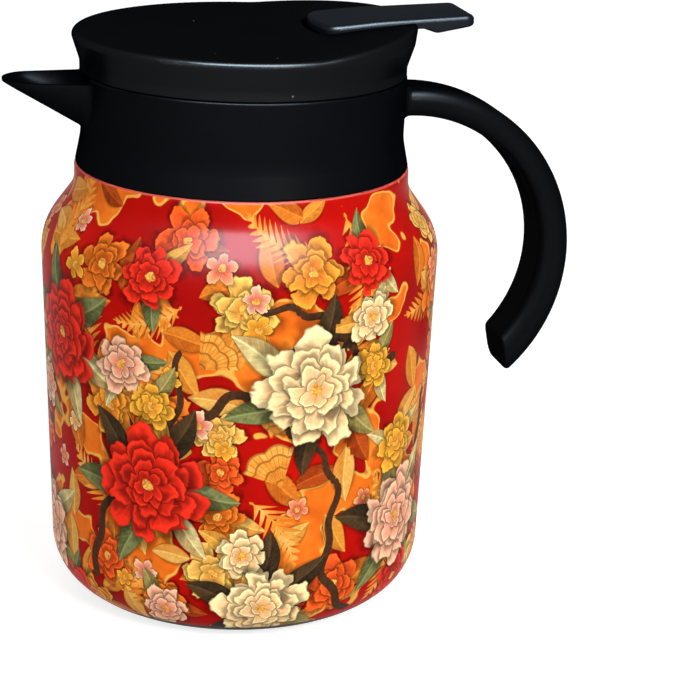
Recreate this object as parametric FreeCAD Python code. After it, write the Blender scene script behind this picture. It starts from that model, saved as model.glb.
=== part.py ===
import FreeCAD, Part
import math
import os

from FreeCAD import Vector

# Vacuum jug with a thumb-lever pouring lid. A double-walled steel flask carries a plastic collar with a
# scoop spout and an open C handle. The lid plugs into the collar, and its lever lifts a sprung valve to let
# the drink out. Millimetres, +Z up, origin at the centre of the base pad, handle along +X, spout along -X.

# Steel flask
foot_radius = 58.6
body_radius = 62.6
bottom_round = 18.0
neck_root_height = 132.6
shoulder_slope = 36.4
shoulder_round = 20.0
neck_radius = 51.8
neck_round = 9.0
neck_length = 7.0
step_width = 4.8
step_round = 1.2
mouth_tube_length = 11.9
shell_wall = 0.8
liner_wall = 0.8
vacuum_gap = 4.0
floor_gap = 6.0
neck_gap = 1.4
liner_bottom_round = 14.0

# Base plate, getter and pad
foot_opening_radius = 36.0
plate_overlap = 3.0
plate_wall = 0.8
dimple_radius = 5.0
dimple_rise = 1.5
getter_radius = 6.0
getter_height = 2.0
pad_drop = 0.8
pad_groove_width = 1.6
pad_groove_depth = 0.4
pad_groove_radii = (16.0, 28.0)

# Collar and spout
collar_height = 28.7
collar_edge_inset = 0.2
waist_depth = 2.0
waist_rise = 9.0
waist_round = 18.0
collar_top_inset = 1.5
collar_wall = 3.0
ledge_inset = 0.4
ledge_thickness = 2.0
collar_seal_thickness = 1.5
collar_seal_width = 1.9
spout_length = 23.5
spout_half_width = 12.3
spout_lip_radius = 10.6
spout_keel_angle = 30.3
spout_lip_thickness = 0.9
spout_wall = 1.6
spout_drop = 1.7
spout_rise = 0.3
spout_root_round = 2.5
spout_side_steps = 6
spout_lip_angles = (20, 40, 58, 72, 82)
spout_section_steps = 8
collar_foot_round = 0.5
collar_rim_round = 0.8

# Handle
handle_drop = 5.4
handle_outer_radius = 54.0
handle_outer_shift = 2.2
handle_outer_angle = 49.7
handle_root_thickness = 9.0
handle_side_thickness = 10.4
handle_mean_thickness = 10.2
handle_inner_angle = 42.0
handle_half_width = 10.0
handle_corner_round = 4.2
handle_root_round = 2.5
handle_end_round = 1.3
handle_parting = 5.0
handle_wall = 2.2
handle_solid_root = 5.0
handle_solid_angle = 7.0
tenon_inset = 2.2
tenon_depth = 1.3

# Lid
lid_height = 12.0
lid_rim_overhang = 2.3
lid_crest_overhang = 0.9
lid_skirt_inset = 0.2
lid_flare_start = 2.7
lid_rim_band = 2.0
lid_rim_round = 1.6
lid_flare_round = 6.0
lid_rim_root_round = 2.0
lid_ramp_start = 13.0
lid_ramp_angle = 6.2
lid_ramp_round = 60.0
lid_top_wall = 1.6
lid_skirt_wall = 2.2
snap_bead_height = 0.7
snap_bead_depth = 0.45
stop_rib_height = 2.0
stop_rib_depth = 1.5
deck_wall = 2.0
deck_dish_depth = 4.0
deck_flange_width = 4.25
guide_wall = 1.64
guide_length = 4.0
wiper_height = 1.4
wiper_width = 2.4
gasket_height = 2.0
gasket_lip = 0.7

# Plug cup under the deck
plug_wall = 2.0
plug_floor = 2.0
plug_depth = 23.3
plug_annulus = 1.5
plug_bottom_round = 1.5
seal_groove_depth = 1.1
seal_groove_height = 3.0
seal_groove_rise = 4.5
window_count = 3
window_width = 8.4
window_rib = 2.0
window_height = 7.6
window_drop = 1.6
screw_count = 3
boss_radius = 3.4
boss_overlap = 1.0
boss_length = 11.0
screw_shank_radius = 1.2
screw_shank_length = 9.0
screw_head_radius = 2.6
screw_head_height = 1.6
screw_slot_width = 0.6
screw_slot_reach = 1.6

# Valve
valve_hole_radius = 9.0
seat_width = 1.5
seat_height = 0.8
valve_lift = 4.0
valve_head_radius = 12.0
valve_head_height = 3.0
valve_hub_radius = 6.9
valve_seal_width = 4.3
valve_seal_height = 1.8
stem_radius = 2.5
stem_spigot_radius = 1.5
stem_cap_radius = 4.2
stem_cap_height = 2.4
spring_wire_radius = 0.45
spring_coil_radius = 5.1
spring_turns = 6

# Thumb lever
lever_front = 21.0
lever_rear = 70.0
lever_front_half_width = 14.5
lever_rear_half_width = 12.4
lever_front_arc = 50.0
lever_front_round = 5.0
lever_rear_round = 3.0
lever_front_gap = 1.6
lever_front_rise = 3.0
lever_bend = 39.0
lever_bend_rise = 4.6
lever_bend_round = 200.0
lever_rear_rise = 6.0
lever_lift = 2.1
lever_skirt_depth = 1.8
lever_hump_depth = 1.6
lever_hump_reach = 4.4
lever_hump_round = 4.0
lever_rear_thickness = 3.4
lever_edge_round = 1.6
lever_under_round = 1.0
pivot_reach = 30.0
pivot_sink = 3.6
pin_radius = 1.5
hinge_block_radius = 3.1
hinge_block_half_width = 13.0
arm_half_width = 4.5
arm_thickness = 2.3
arm_elbow_round = 3.0
arm_overrun = 5.5
fork_depth = 1.2
pocket_wall = 1.6
pocket_floor_wall = 1.5
pocket_depth = 7.1
pocket_run = 6.0

# Clearances
fit_clearance = 0.1
lid_gap = 0.2
tube_clearance = 0.2
seal_clearance = 0.2
running_clearance = 0.05
seat_gap = 0.05
lever_clearance = 0.5
fork_clearance = 0.4
cap_clearance = 0.45
overcut = 1.0
edge_break = 0.4

# Heights and radii that follow from the sizes above
shell_floor = pad_drop
plate_bottom = shell_floor + shell_wall
plate_top = plate_bottom + plate_wall
liner_floor = plate_top + floor_gap
collar_seat = neck_root_height + neck_length
lip_height = collar_seat + mouth_tube_length
mouth_tube_radius = neck_radius - step_width
liner_neck_radius = mouth_tube_radius - shell_wall - neck_gap
mouth_radius = liner_neck_radius - liner_wall
collar_top = collar_seat + collar_height
collar_top_radius = neck_radius - collar_top_inset
gutter_radius = collar_top_radius - collar_wall
ledge_bottom = lip_height + collar_seal_thickness
ledge_top = ledge_bottom + ledge_thickness
ledge_radius = mouth_radius + ledge_inset
spout_tip = collar_top_radius + spout_length
handle_top = collar_top - handle_drop
handle_bottom = handle_top - handle_root_thickness
handle_middle = (handle_top + handle_bottom) / 2
handle_outer_x = collar_top_radius + handle_outer_shift
handle_outer_z = handle_top - handle_outer_radius
handle_inner_radius = handle_outer_radius - handle_mean_thickness
handle_inner_x = handle_outer_x + handle_outer_radius - handle_side_thickness - handle_inner_radius
handle_inner_z = handle_bottom - handle_inner_radius
lid_bottom = collar_top + lid_gap
lid_top = collar_top + lid_height
lid_under = lid_top - lid_top_wall
lid_skirt_radius = collar_top_radius - lid_skirt_inset
lid_inner_radius = lid_skirt_radius - lid_skirt_wall
lid_rim_radius = lid_skirt_radius + lid_rim_overhang
lid_crest_radius = lid_rim_radius + lid_crest_overhang
lid_ramp = math.tan(math.radians(lid_ramp_angle))
lid_crest = lid_top + lid_ramp * (lid_crest_radius - lid_ramp_start)
deck_radius = lid_inner_radius - fit_clearance
deck_flange_bottom = lid_bottom + snap_bead_height + fit_clearance
deck_flange_top = deck_flange_bottom + deck_wall
deck_dish_radius = deck_radius - deck_flange_width
deck_plate_bottom = deck_flange_bottom - deck_dish_depth
deck_plate_top = deck_plate_bottom + deck_wall
plug_radius = mouth_radius - plug_annulus
plug_inner_radius = plug_radius - plug_wall
screw_circle_radius = plug_inner_radius - boss_radius + boss_overlap
plug_bottom = deck_plate_bottom - plug_depth
plug_floor_top = plug_bottom + plug_floor
seal_bottom = plug_floor_top + seat_height + seat_gap
head_bottom = seal_bottom + valve_seal_height
head_top = head_bottom + valve_head_height
stem_foot = head_bottom + valve_head_height / 3
cap_top = lid_under - valve_lift - cap_clearance
cap_bottom = cap_top - stem_cap_height
pivot_height = lid_top - pivot_sink
pocket_floor = lid_top - pocket_depth
pocket_rear = pivot_reach + pocket_run
lever_under = lid_top + lever_lift
skirt_under = lever_under - lever_skirt_depth
press_angle = math.degrees(valve_lift / pivot_reach)
arm_top = cap_bottom - cap_clearance

axis_start = Vector(0, 0, 0)
up = Vector(0, 0, 1)
across = Vector(0, 1, 0)
along = Vector(1, 0, 0)


# Outlines
def corner_edges(corners, place):
    """Edges of a closed outline whose corners are (u, v, round); place turns (u, v) into a point."""
    count = len(corners)
    starts, arcs = [], []
    for i, (u, v, radius) in enumerate(corners):
        before, after = corners[i - 1], corners[(i + 1) % count]
        du, dv = before[0] - u, before[1] - v
        eu, ev = after[0] - u, after[1] - v
        d, e = math.hypot(du, dv), math.hypot(eu, ev)
        du, dv, eu, ev = du / d, dv / d, eu / e, ev / e
        half = math.acos(max(-1.0, min(1.0, du * eu + dv * ev))) / 2
        if radius <= 0 or half > math.radians(89.9):
            starts.append(((u, v), (u, v)))
            arcs.append(None)
            continue
        tangent = radius / math.tan(half)
        su, sv = du + eu, dv + ev
        s = math.hypot(su, sv)
        reach = radius / math.sin(half) - radius
        starts.append(((u + du * tangent, v + dv * tangent), (u + eu * tangent, v + ev * tangent)))
        arcs.append((u + su / s * reach, v + sv / s * reach))
    edges = []
    for i in range(count):
        first, last = starts[i]
        if arcs[i]:
            edges.append(Part.Arc(place(*first), place(*arcs[i]), place(*last)).toShape())
        follow = starts[(i + 1) % count][0]
        if math.hypot(follow[0] - last[0], follow[1] - last[1]) > 1e-6:
            edges.append(Part.LineSegment(place(*last), place(*follow)).toShape())
    return edges


def outline_face(corners, place):
    """A flat face inside a closed outline of rounded corners."""
    full = [corner if len(corner) == 3 else (*corner, 0) for corner in corners]
    return Part.Face(Part.Wire(corner_edges(full, place)))


def upright(u, v):
    """A point of the upright plane through the axis: radius u, height v."""
    return Vector(u, 0, v)


def outward(solid):
    """The solid with its faces pointing outwards, whichever way its outline ran."""
    if solid.Volume < 0:
        solid.reverse()
    return solid


def turned(corners):
    """A solid of revolution about the jug's axis from an outline of (radius, height, round) corners."""
    return outward(outline_face(corners, upright).revolve(axis_start, up, 360))


def meet(a, b, c, d):
    """Where the line through a and b meets the line through c and d."""
    cross = (b[0] - a[0]) * (d[1] - c[1]) - (b[1] - a[1]) * (d[0] - c[0])
    t = ((c[0] - a[0]) * (d[1] - c[1]) - (c[1] - a[1]) * (d[0] - c[0])) / cross
    return a[0] + t * (b[0] - a[0]), a[1] + t * (b[1] - a[1])


def shifted(path, distance):
    """An open path moved to its left by distance, with its rounds grown or shrunk to match."""
    sides = []
    for a, b in zip(path, path[1:]):
        length = math.hypot(b[0] - a[0], b[1] - a[1])
        nu, nv = -(b[1] - a[1]) / length * distance, (b[0] - a[0]) / length * distance
        sides.append(((a[0] + nu, a[1] + nv), (b[0] + nu, b[1] + nv)))
    moved = [(*sides[0][0], 0)]
    for i in range(1, len(path) - 1):
        a, b, c = path[i - 1], path[i], path[i + 1]
        turn = (b[0] - a[0]) * (c[1] - b[1]) - (b[1] - a[1]) * (c[0] - b[0])
        radius = b[2] - math.copysign(distance, turn) if b[2] > 0 else 0
        moved.append((*meet(*sides[i - 1], *sides[i]), max(radius, 0)))
    moved.append((*sides[-1][1], 0))
    return moved


def sheet_metal(path, wall):
    """A wall of even thickness turned about the axis, lying to the left of an open path."""
    return turned(path + shifted(path, wall)[::-1])


def ring(inner, outer, bottom, top):
    """A plain ring about the jug's axis."""
    return turned([(inner, bottom), (outer, bottom), (outer, top), (inner, top)])


def upright_cylinder(x, y, radius, bottom, top):
    """A cylinder that stands at x, y."""
    return Part.makeCylinder(radius, top - bottom, Vector(x, y, bottom), up)


def cross_cylinder(x, z, radius, half_length):
    """A cylinder across the jug, with its axis along Y through x, z."""
    return Part.makeCylinder(radius, 2 * half_length, Vector(x, -half_length, z), across)


def block(low, high):
    """A box between two corners."""
    return Part.makeBox(high[0] - low[0], high[1] - low[1], high[2] - low[2], Vector(*low))


# Flask
def shell_path():
    """Outside of the steel shell, from its foot opening up to the mouth tube."""
    run = math.tan(math.radians(shoulder_slope))
    foot = (foot_radius, shell_floor)
    side_top = (body_radius, neck_root_height)
    neck_root = (neck_radius, neck_root_height)
    shoulder = meet(foot, side_top, neck_root, (neck_radius + run, neck_root_height - 1))
    return [
        (foot_opening_radius, shell_floor, 0),
        (*foot, bottom_round),
        (*shoulder, shoulder_round),
        (*neck_root, neck_round),
        (neck_radius, collar_seat, step_round),
        (mouth_tube_radius, collar_seat, step_round / 2),
        (mouth_tube_radius, lip_height - liner_wall, 0),
    ]


def liner_path():
    """Vacuum side of the liner, from the axis up to the lip that covers the shell's mouth tube."""
    inner = shifted(shell_path(), shell_wall + vacuum_gap)
    side_low, shoulder, neck_root = inner[1], inner[2], inner[3]
    floor = [(0, liner_floor), (1, liner_floor)]
    neck = [(liner_neck_radius, 0), (liner_neck_radius, 1)]
    return [
        (0, liner_floor, 0),
        (*meet(side_low[:2], shoulder[:2], *floor), liner_bottom_round),
        shoulder,
        (*meet(shoulder[:2], neck_root[:2], *neck), neck_root[2]),
        (liner_neck_radius, lip_height - liner_wall, step_round / 2),
        (mouth_tube_radius, lip_height - liner_wall, 0),
    ]


def base_plate():
    """Steel disc that closes the foot, with the pinched dimple where the air was drawn out."""
    rim = foot_opening_radius + plate_overlap
    dimple_foot = dimple_radius + dimple_rise
    path = [
        (0, plate_bottom + dimple_rise, 0),
        (dimple_radius, plate_bottom + dimple_rise, plate_wall / 2),
        (dimple_foot, plate_bottom, 1.5 * plate_wall),
        (rim, plate_bottom, 0),
    ]
    return sheet_metal(path, plate_wall)


def base_pad():
    """Soft disc pressed into the foot opening, with two shallow grip grooves."""
    pad = upright_cylinder(0, 0, foot_opening_radius - fit_clearance, 0, plate_bottom)
    half = pad_groove_width / 2
    for radius in pad_groove_radii:
        pad = pad.cut(ring(radius - half, radius + half, -pad_groove_depth, pad_groove_depth))
    return pad


def getter():
    """Gas-binding capsule welded under the liner, inside the vacuum."""
    edge = getter_height / 4
    low = liner_floor - getter_height
    return turned([(0, low), (getter_radius, low, edge), (getter_radius, liner_floor), (0, liner_floor)])


# Collar
def collar_outside():
    """The collar's outer form, filled to the axis."""
    return turned([
        (0, collar_seat),
        (neck_radius - collar_edge_inset, collar_seat, collar_foot_round),
        (neck_radius - waist_depth, collar_seat + waist_rise, waist_round),
        (collar_top_radius, collar_top, collar_rim_round),
        (0, collar_top),
    ])


def collar_bore():
    """What the collar is hollowed by: the tube socket, the ledge hole and the pouring gutter."""
    below, above = collar_seat - overcut, collar_top + overcut
    socket = mouth_tube_radius + tube_clearance
    lead_in = socket + step_round
    return turned([
        (0, below),
        (lead_in, below),
        (lead_in, collar_seat),
        (socket, collar_seat + step_round),
        (socket, ledge_bottom),
        (ledge_radius, ledge_bottom, edge_break),
        (ledge_radius, ledge_top, edge_break),
        (gutter_radius, ledge_top, 2 * edge_break),
        (gutter_radius, above),
        (0, above),
    ])


def spout_half(reach, lip_radius):
    """Half width of the scoop at a distance from the axis: straight tapered sides, then a round lip."""
    lip_centre = spout_tip - spout_lip_radius
    if reach > lip_centre:
        return math.sqrt(max(lip_radius ** 2 - (reach - lip_centre) ** 2, 0))
    share = (lip_centre - reach) / (lip_centre - collar_top_radius)
    return lip_radius + (spout_half_width - spout_lip_radius) * share


def scoop(lip_radius, lip_reach, lip_depth, rise):
    """A scoop lofted through half-ellipse sections that grow deeper towards the axis.

    Each section hangs from the rim, which climbs a little towards the tip. A rise above zero carries the
    section up past the rim, for the open channel.
    """
    keel = math.tan(math.radians(spout_keel_angle))
    climb = spout_rise / spout_length
    wires = []
    for reach in spout_stations(lip_radius):
        rim = collar_top - spout_drop + climb * (reach - collar_top_radius)
        width = spout_half(reach, lip_radius)
        depth = (lip_reach - reach) * keel + lip_depth
        turns = [math.pi * i / spout_section_steps for i in range(spout_section_steps + 1)]
        points = [Vector(-reach, width * math.cos(t), rim - depth * math.sin(t)) for t in turns]
        curve = Part.BSplineCurve()
        curve.interpolate(points)
        corners = [points[-1], points[0]]
        if rise > 0:
            corners = [points[-1], points[-1] + up * rise, points[0] + up * rise, points[0]]
        lines = [Part.LineSegment(a, b).toShape() for a, b in zip(corners, corners[1:])]
        wires.append(Part.Wire([curve.toShape()] + lines))
    return outward(Part.makeLoft(wires, True, False))


def spout_stations(lip_radius):
    """Where the scoop's sections stand: along the straight sides, then closing round the lip."""
    lip_centre = spout_tip - spout_lip_radius
    start = ledge_radius - spout_wall
    step = (lip_centre - start) / spout_side_steps
    sides = [start + step * i for i in range(spout_side_steps + 1)]
    return sides + [lip_centre + lip_radius * math.sin(math.radians(a)) for a in spout_lip_angles]


def spout_root(body):
    """The edge where the underside of the scoop runs into the collar's wall."""
    found = []
    for edge in body.Edges:
        middle = edge.valueAt((edge.FirstParameter + edge.LastParameter) / 2)
        on_wall = abs(math.hypot(middle.x, middle.y) - collar_top_radius) < waist_depth
        below = collar_seat < middle.z < collar_top - spout_drop - spout_wall
        if on_wall and below and middle.x < 0 and edge.Length < math.pi * collar_top_radius:
            found.append(edge)
    return found


def collar():
    """Neck moulding with the scoop spout and the socket for the handle."""
    spout = scoop(spout_lip_radius, spout_tip, spout_lip_thickness, 0)
    inner_lip = spout_lip_radius - spout_wall
    channel = scoop(inner_lip, spout_tip - spout_wall, spout_lip_thickness / 4, spout_length)
    channel = channel.cut(upright_cylinder(0, 0, spout_tip, 0, ledge_top))
    body = collar_outside().fuse(spout)
    body = rounded(body, spout_root(body), spout_root_round)
    return body.cut([collar_bore(), channel, handle_tenon(fit_clearance)])


def rounded(body, edges, radius):
    """The body with those edges rounded, or as it was if there is nothing to round."""
    return body.makeFillet(radius, edges) if edges and radius else body


def collar_seal():
    """Silicone ring squeezed between the flask's lip and the collar's ledge."""
    outer = mouth_tube_radius - fit_clearance
    return ring(outer - collar_seal_width, outer, lip_height, ledge_bottom)


# Handle
def on_circle(x, z, radius, angle):
    """A point of an upright circle, by its angle above the level."""
    turn = math.radians(angle)
    return Vector(x + radius * math.cos(turn), 0, z + radius * math.sin(turn))


def handle_outline(inset, start, short):
    """Side view of the handle, drawn in by inset, from start beside the axis to short degrees before its end.

    The back and the finger side are two circles that leave the collar level. The finger side's centre is
    higher, so the grip grows thicker towards its free end.
    """
    back = handle_outer_radius - inset
    front = handle_inner_radius + inset

    def arc(x, z, radius, first, last):
        points = [on_circle(x, z, radius, angle) for angle in (first, (first + last) / 2, last)]
        return Part.Arc(*points).toShape()

    outer = arc(handle_outer_x, handle_outer_z, back, 90, short - handle_outer_angle)
    inner = arc(handle_inner_x, handle_inner_z, front, short - handle_inner_angle, 90)
    top, bottom = handle_top - inset, handle_bottom + inset
    corners = [
        (Vector(start, 0, top), Vector(handle_outer_x, 0, top)),
        (on_circle(handle_outer_x, handle_outer_z, back, short - handle_outer_angle),
         on_circle(handle_inner_x, handle_inner_z, front, short - handle_inner_angle)),
        (Vector(handle_inner_x, 0, bottom), Vector(start, 0, bottom)),
        (Vector(start, 0, bottom), Vector(start, 0, top)),
    ]
    lines = [Part.LineSegment(a, b).toShape() for a, b in corners]
    return Part.Face(Part.Wire([lines[0], outer, lines[1], inner, lines[2], lines[3]]))


def handle_bar(inset, start, short):
    """The handle's outline carried across its width, with its four long edges rounded."""
    half = handle_half_width - inset
    face = handle_outline(inset, start, short)
    face.translate(across * -half)
    bar = outward(face.extrude(across * 2 * half))

    def runs_along(edge):
        first, last = edge.Vertexes[0].Point, edge.Vertexes[-1].Point
        curved = isinstance(edge.Curve, Part.Circle)
        level = abs(first.z - last.z) < edge_break and abs(first.x - last.x) > edge_break
        return abs(first.y - last.y) < edge_break and (curved or level)

    return rounded(bar, [e for e in bar.Edges if runs_along(e)], handle_corner_round - inset)


def handle_end_face(body):
    """The flat slanting face at the handle's free end."""
    outer = on_circle(handle_outer_x, handle_outer_z, handle_outer_radius, -handle_outer_angle)
    inner = on_circle(handle_inner_x, handle_inner_z, handle_inner_radius, -handle_inner_angle)
    middle = (outer + inner) * 0.5
    return min(body.Faces, key=lambda face: (face.CenterOfMass - middle).Length)


def handle_root(body):
    """The edges where the handle runs into the collar's wall."""
    found = []
    for edge in body.Edges:
        middle = edge.valueAt((edge.FirstParameter + edge.LastParameter) / 2)
        on_wall = abs(math.hypot(middle.x, middle.y) - collar_top_radius) < waist_depth
        beside = abs(middle.y) < handle_half_width + edge_break
        level = handle_bottom - edge_break < middle.z < handle_top + edge_break
        if on_wall and beside and level and middle.x > 0:
            found.append(edge)
    return found


def handle_form():
    """The whole handle before it is parted and hollowed, with a rounded end and a flare at the collar."""
    bar = handle_bar(0, ledge_radius, 0)
    bar = rounded(bar, handle_end_face(bar).Edges, handle_end_round)
    body = collar_outside().fuse(bar)
    return rounded(body, handle_root(body), handle_root_round).cut(collar_outside())


def finger_side():
    """Everything on the finger side of the handle's parting surface."""
    radius = handle_outer_radius - handle_parting
    inside = cross_cylinder(handle_outer_x, handle_outer_z, radius, 2 * handle_half_width)
    root = block((0, -2 * handle_half_width, handle_outer_z),
                 (handle_outer_x, 2 * handle_half_width, handle_top - handle_parting))
    return inside.fuse(root)


def handle_tenon(grow):
    """Tongue that seats the handle in the collar's wall, or its socket when grown by a clearance."""
    w = handle_half_width - tenon_inset + grow
    h = handle_root_thickness / 2 - tenon_inset + grow
    r = handle_corner_round - tenon_inset + grow
    start = collar_top_radius - tenon_depth - waist_depth - grow
    corners = [(-w, -h, r), (w, -h, r), (w, h, r), (-w, h, r)]
    face = outline_face(corners, lambda b, n: Vector(start, b, handle_middle + n))
    return outward(face.extrude(along * (collar_top_radius + handle_solid_root - start)))


def handle_hollow():
    """The space inside the grip, which stops short of the collar and of the free end."""
    root = upright_cylinder(0, 0, collar_top_radius + handle_solid_root, 0, lid_top)
    return handle_bar(handle_wall, ledge_radius, handle_solid_angle).cut(root)


def handle():
    """Back shell of the C handle, with the tongue that seats in the collar."""
    shell = handle_form().cut(handle_hollow()).cut(finger_side())
    return shell.fuse(handle_tenon(0).common(collar_outside())).removeSplitter()


def handle_cover():
    """Grip cover that closes the finger side of the handle."""
    return handle_form().common(finger_side()).cut(handle_hollow())


# Lid
def lid_roof(drop):
    """All that lies under the lid's top, lowered by drop: level in front, then a ramp up to the lever's end."""
    reach, low = lid_crest_radius + overcut, lid_bottom - 2 * overcut
    return slab([
        (-reach, low),
        (reach, low),
        (reach, lid_top - drop + lid_ramp * (reach - lid_ramp_start)),
        (lid_ramp_start, lid_top - drop, lid_ramp_round),
        (-reach, lid_top - drop),
    ])


def rim_of_top(body):
    """Edges round the upward faces of a body."""
    def faces_up(face):
        middle = face.Surface.parameter(face.CenterOfMass)
        return face.normalAt(*middle).z > math.cos(math.radians(3 * lid_ramp_angle))

    edges = [edge for face in body.Faces if faces_up(face) for edge in face.Edges]
    return [edge for edge in edges if sum(edge.isSame(other) for other in edges) == 1]


def lid_outside():
    """The lid's outer form, filled to the axis: a short skirt that flares to a round-edged rim."""
    form = turned([
        (0, lid_bottom),
        (lid_skirt_radius, lid_bottom, edge_break),
        (lid_skirt_radius, lid_bottom + lid_flare_start, lid_flare_round),
        (lid_rim_radius, lid_top - lid_rim_band, lid_rim_root_round),
        (lid_crest_radius, lid_crest + overcut),
        (0, lid_crest + overcut),
    ]).common(lid_roof(0))
    return rounded(form, rim_of_top(form), lid_rim_round)


def lid_hollow():
    """Inside of the lid: the snap bead, the deck's seat, the stop rib and the lever chamber."""
    rib_top = deck_flange_top + stop_rib_height
    bead = lid_inner_radius - snap_bead_depth
    bead_top = lid_bottom + snap_bead_height
    stop = lid_inner_radius - stop_rib_depth
    chamber = lid_inner_radius + lid_rim_overhang / 2
    return turned([
        (0, lid_bottom - overcut),
        (bead, lid_bottom - overcut),
        (bead, bead_top),
        (lid_inner_radius, bead_top + snap_bead_depth / 4),
        (lid_inner_radius, deck_flange_top),
        (stop, deck_flange_top),
        (stop, rib_top),
        (lid_inner_radius, rib_top),
        (chamber, lid_under),
        (chamber, lid_crest),
        (0, lid_crest),
    ]).common(lid_roof(lid_top_wall))


def lever_plan(grow, front_gap, rear):
    """Outline of the lever seen from above, grown all round and in front, as a face at height zero."""
    arc = lever_front_arc + grow
    centre = lever_front - front_gap + lever_front_arc
    taper = (lever_front_half_width - lever_rear_half_width) / (lever_rear - lever_front)
    front_half = lever_front_half_width + grow
    corner_x = centre - math.sqrt(arc ** 2 - front_half ** 2)
    rear_half = lever_rear_half_width + grow - taper * (rear - lever_rear)
    front = Part.Arc(Vector(corner_x, front_half, 0), Vector(centre - arc, 0, 0),
                     Vector(corner_x, -front_half, 0)).toShape()
    a, b = Vector(corner_x, -front_half, 0), Vector(rear, -rear_half, 0)
    c, d = Vector(rear, rear_half, 0), Vector(corner_x, front_half, 0)
    sides = [Part.LineSegment(p, q).toShape() for p, q in ((a, b), (b, c), (c, d))]
    return Part.Face(Part.Wire([front] + sides))


def lever_prism(grow, front_gap, rear, rear_round):
    """The lever's outline as a tall upright prism with rounded corners."""
    height = lid_top - pocket_floor
    face = lever_plan(grow, front_gap, rear)
    face.translate(up * (pocket_floor - height))
    prism = face.extrude(up * 3 * height)
    uprights = [e for e in prism.Edges if abs(e.Vertexes[0].Z - e.Vertexes[-1].Z) > height]
    front = [e for e in uprights if e.Vertexes[0].X < pivot_reach]
    prism = rounded(prism, front, lever_front_round + grow)
    rear_edges = [e for e in prism.Edges if abs(e.Vertexes[0].Z - e.Vertexes[-1].Z) > height
                  and e.Vertexes[0].X > rear - edge_break]
    return rounded(prism, rear_edges, rear_round)


def slab(corners):
    """A side outline of (along, height) corners carried right across the lid."""
    face = outline_face(corners, upright)
    half = lid_crest_radius + overcut
    face.translate(across * -half)
    return outward(face.extrude(across * 2 * half))


def channel_height(x):
    """Floor of the lever's shallow channel: the underside of the pressed lever, less a clearance."""
    lean = math.radians(press_angle)
    rise = (lever_under - pivot_height) / math.cos(lean) - lever_clearance
    return pivot_height + rise - math.tan(lean) * (x - pivot_reach)


def lever_room(drop, back, top):
    """Room under the lever seen from the side: deep at the hinge, then a channel that slopes to the rim."""
    before, past = 0, lid_crest_radius + overcut
    deep_rear = pocket_rear + back
    return slab([
        (before, pocket_floor - drop),
        (deep_rear, pocket_floor - drop),
        (deep_rear, channel_height(deep_rear) - drop),
        (past, channel_height(past) - drop),
        (past, top),
        (before, top),
    ])


def lid_cover():
    """Top shell of the lid, with the room that the lever moves in and the bores for its pin."""
    outside, rear = lid_outside(), lid_crest_radius + overcut
    tub = lever_prism(lever_clearance + pocket_wall, lever_front_gap, rear, 0)
    tub = tub.common(lever_room(pocket_floor_wall, pocket_wall, lid_crest)).common(outside)
    room = lever_prism(lever_clearance, lever_front_gap, rear, 0)
    room = room.common(lever_room(0, 0, lid_crest + overcut))
    cover = outside.cut(lid_hollow()).fuse(tub).removeSplitter()
    slot_front = lever_front - lever_front_gap - pocket_wall - 3 * lever_clearance - overcut
    slot_half = arm_half_width + lever_clearance
    slot = block((slot_front, -slot_half, pocket_floor - pocket_floor_wall - overcut),
                 (pivot_reach, slot_half, lid_under - lever_clearance))
    bore = cross_cylinder(pivot_reach, pivot_height, pin_radius, pin_half_length())
    return cover.cut([room, slot, bore])


def pin_half_length():
    """The pin reaches through both walls of the lever's channel."""
    return lever_front_half_width + lever_clearance + pocket_wall - fit_clearance


def lever_pin():
    """Steel pin pressed into the channel walls."""
    return cross_cylinder(pivot_reach, pivot_height, pin_radius, pin_half_length())


def lid_deck():
    """Partition between the dry lever chamber and the wet plug cup, with the stem's guide tube."""
    bore = stem_radius + running_clearance
    tube = bore + guide_wall
    inner = deck_dish_radius - deck_wall
    deck = turned([
        (bore, deck_plate_bottom - guide_length),
        (tube, deck_plate_bottom - guide_length),
        (tube, deck_plate_bottom),
        (deck_dish_radius, deck_plate_bottom),
        (deck_dish_radius, deck_flange_bottom),
        (deck_radius, deck_flange_bottom),
        (deck_radius, deck_flange_top),
        (inner, deck_flange_top),
        (inner, deck_plate_top),
        (bore, deck_plate_top),
    ])
    hole = screw_shank_radius + fit_clearance
    for x, y in screw_places():
        deck = deck.cut(upright_cylinder(x, y, hole, deck_plate_bottom - overcut, deck_plate_top + overcut))
    return deck


def screw_places():
    """Centres of the screws that hold the plug cup under the deck, clear of the pouring windows."""
    turns = [2 * math.pi * i / screw_count for i in range(screw_count)]
    return [(screw_circle_radius * math.cos(t), screw_circle_radius * math.sin(t)) for t in turns]


def stem_wiper():
    """Silicone ring on the deck that wipes the stem."""
    bore = stem_radius + running_clearance
    return ring(bore, bore + wiper_width, deck_plate_top, deck_plate_top + wiper_height)


def lid_gasket():
    """Silicone ring under the deck's flange that closes the top of the pouring gutter."""
    outer = gutter_radius - seal_clearance
    bottom = deck_flange_bottom - gasket_height
    return turned([
        (deck_dish_radius, bottom),
        (outer - gasket_lip, bottom),
        (outer, bottom + gasket_lip),
        (outer, deck_flange_bottom),
        (deck_dish_radius, deck_flange_bottom),
    ])


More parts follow.
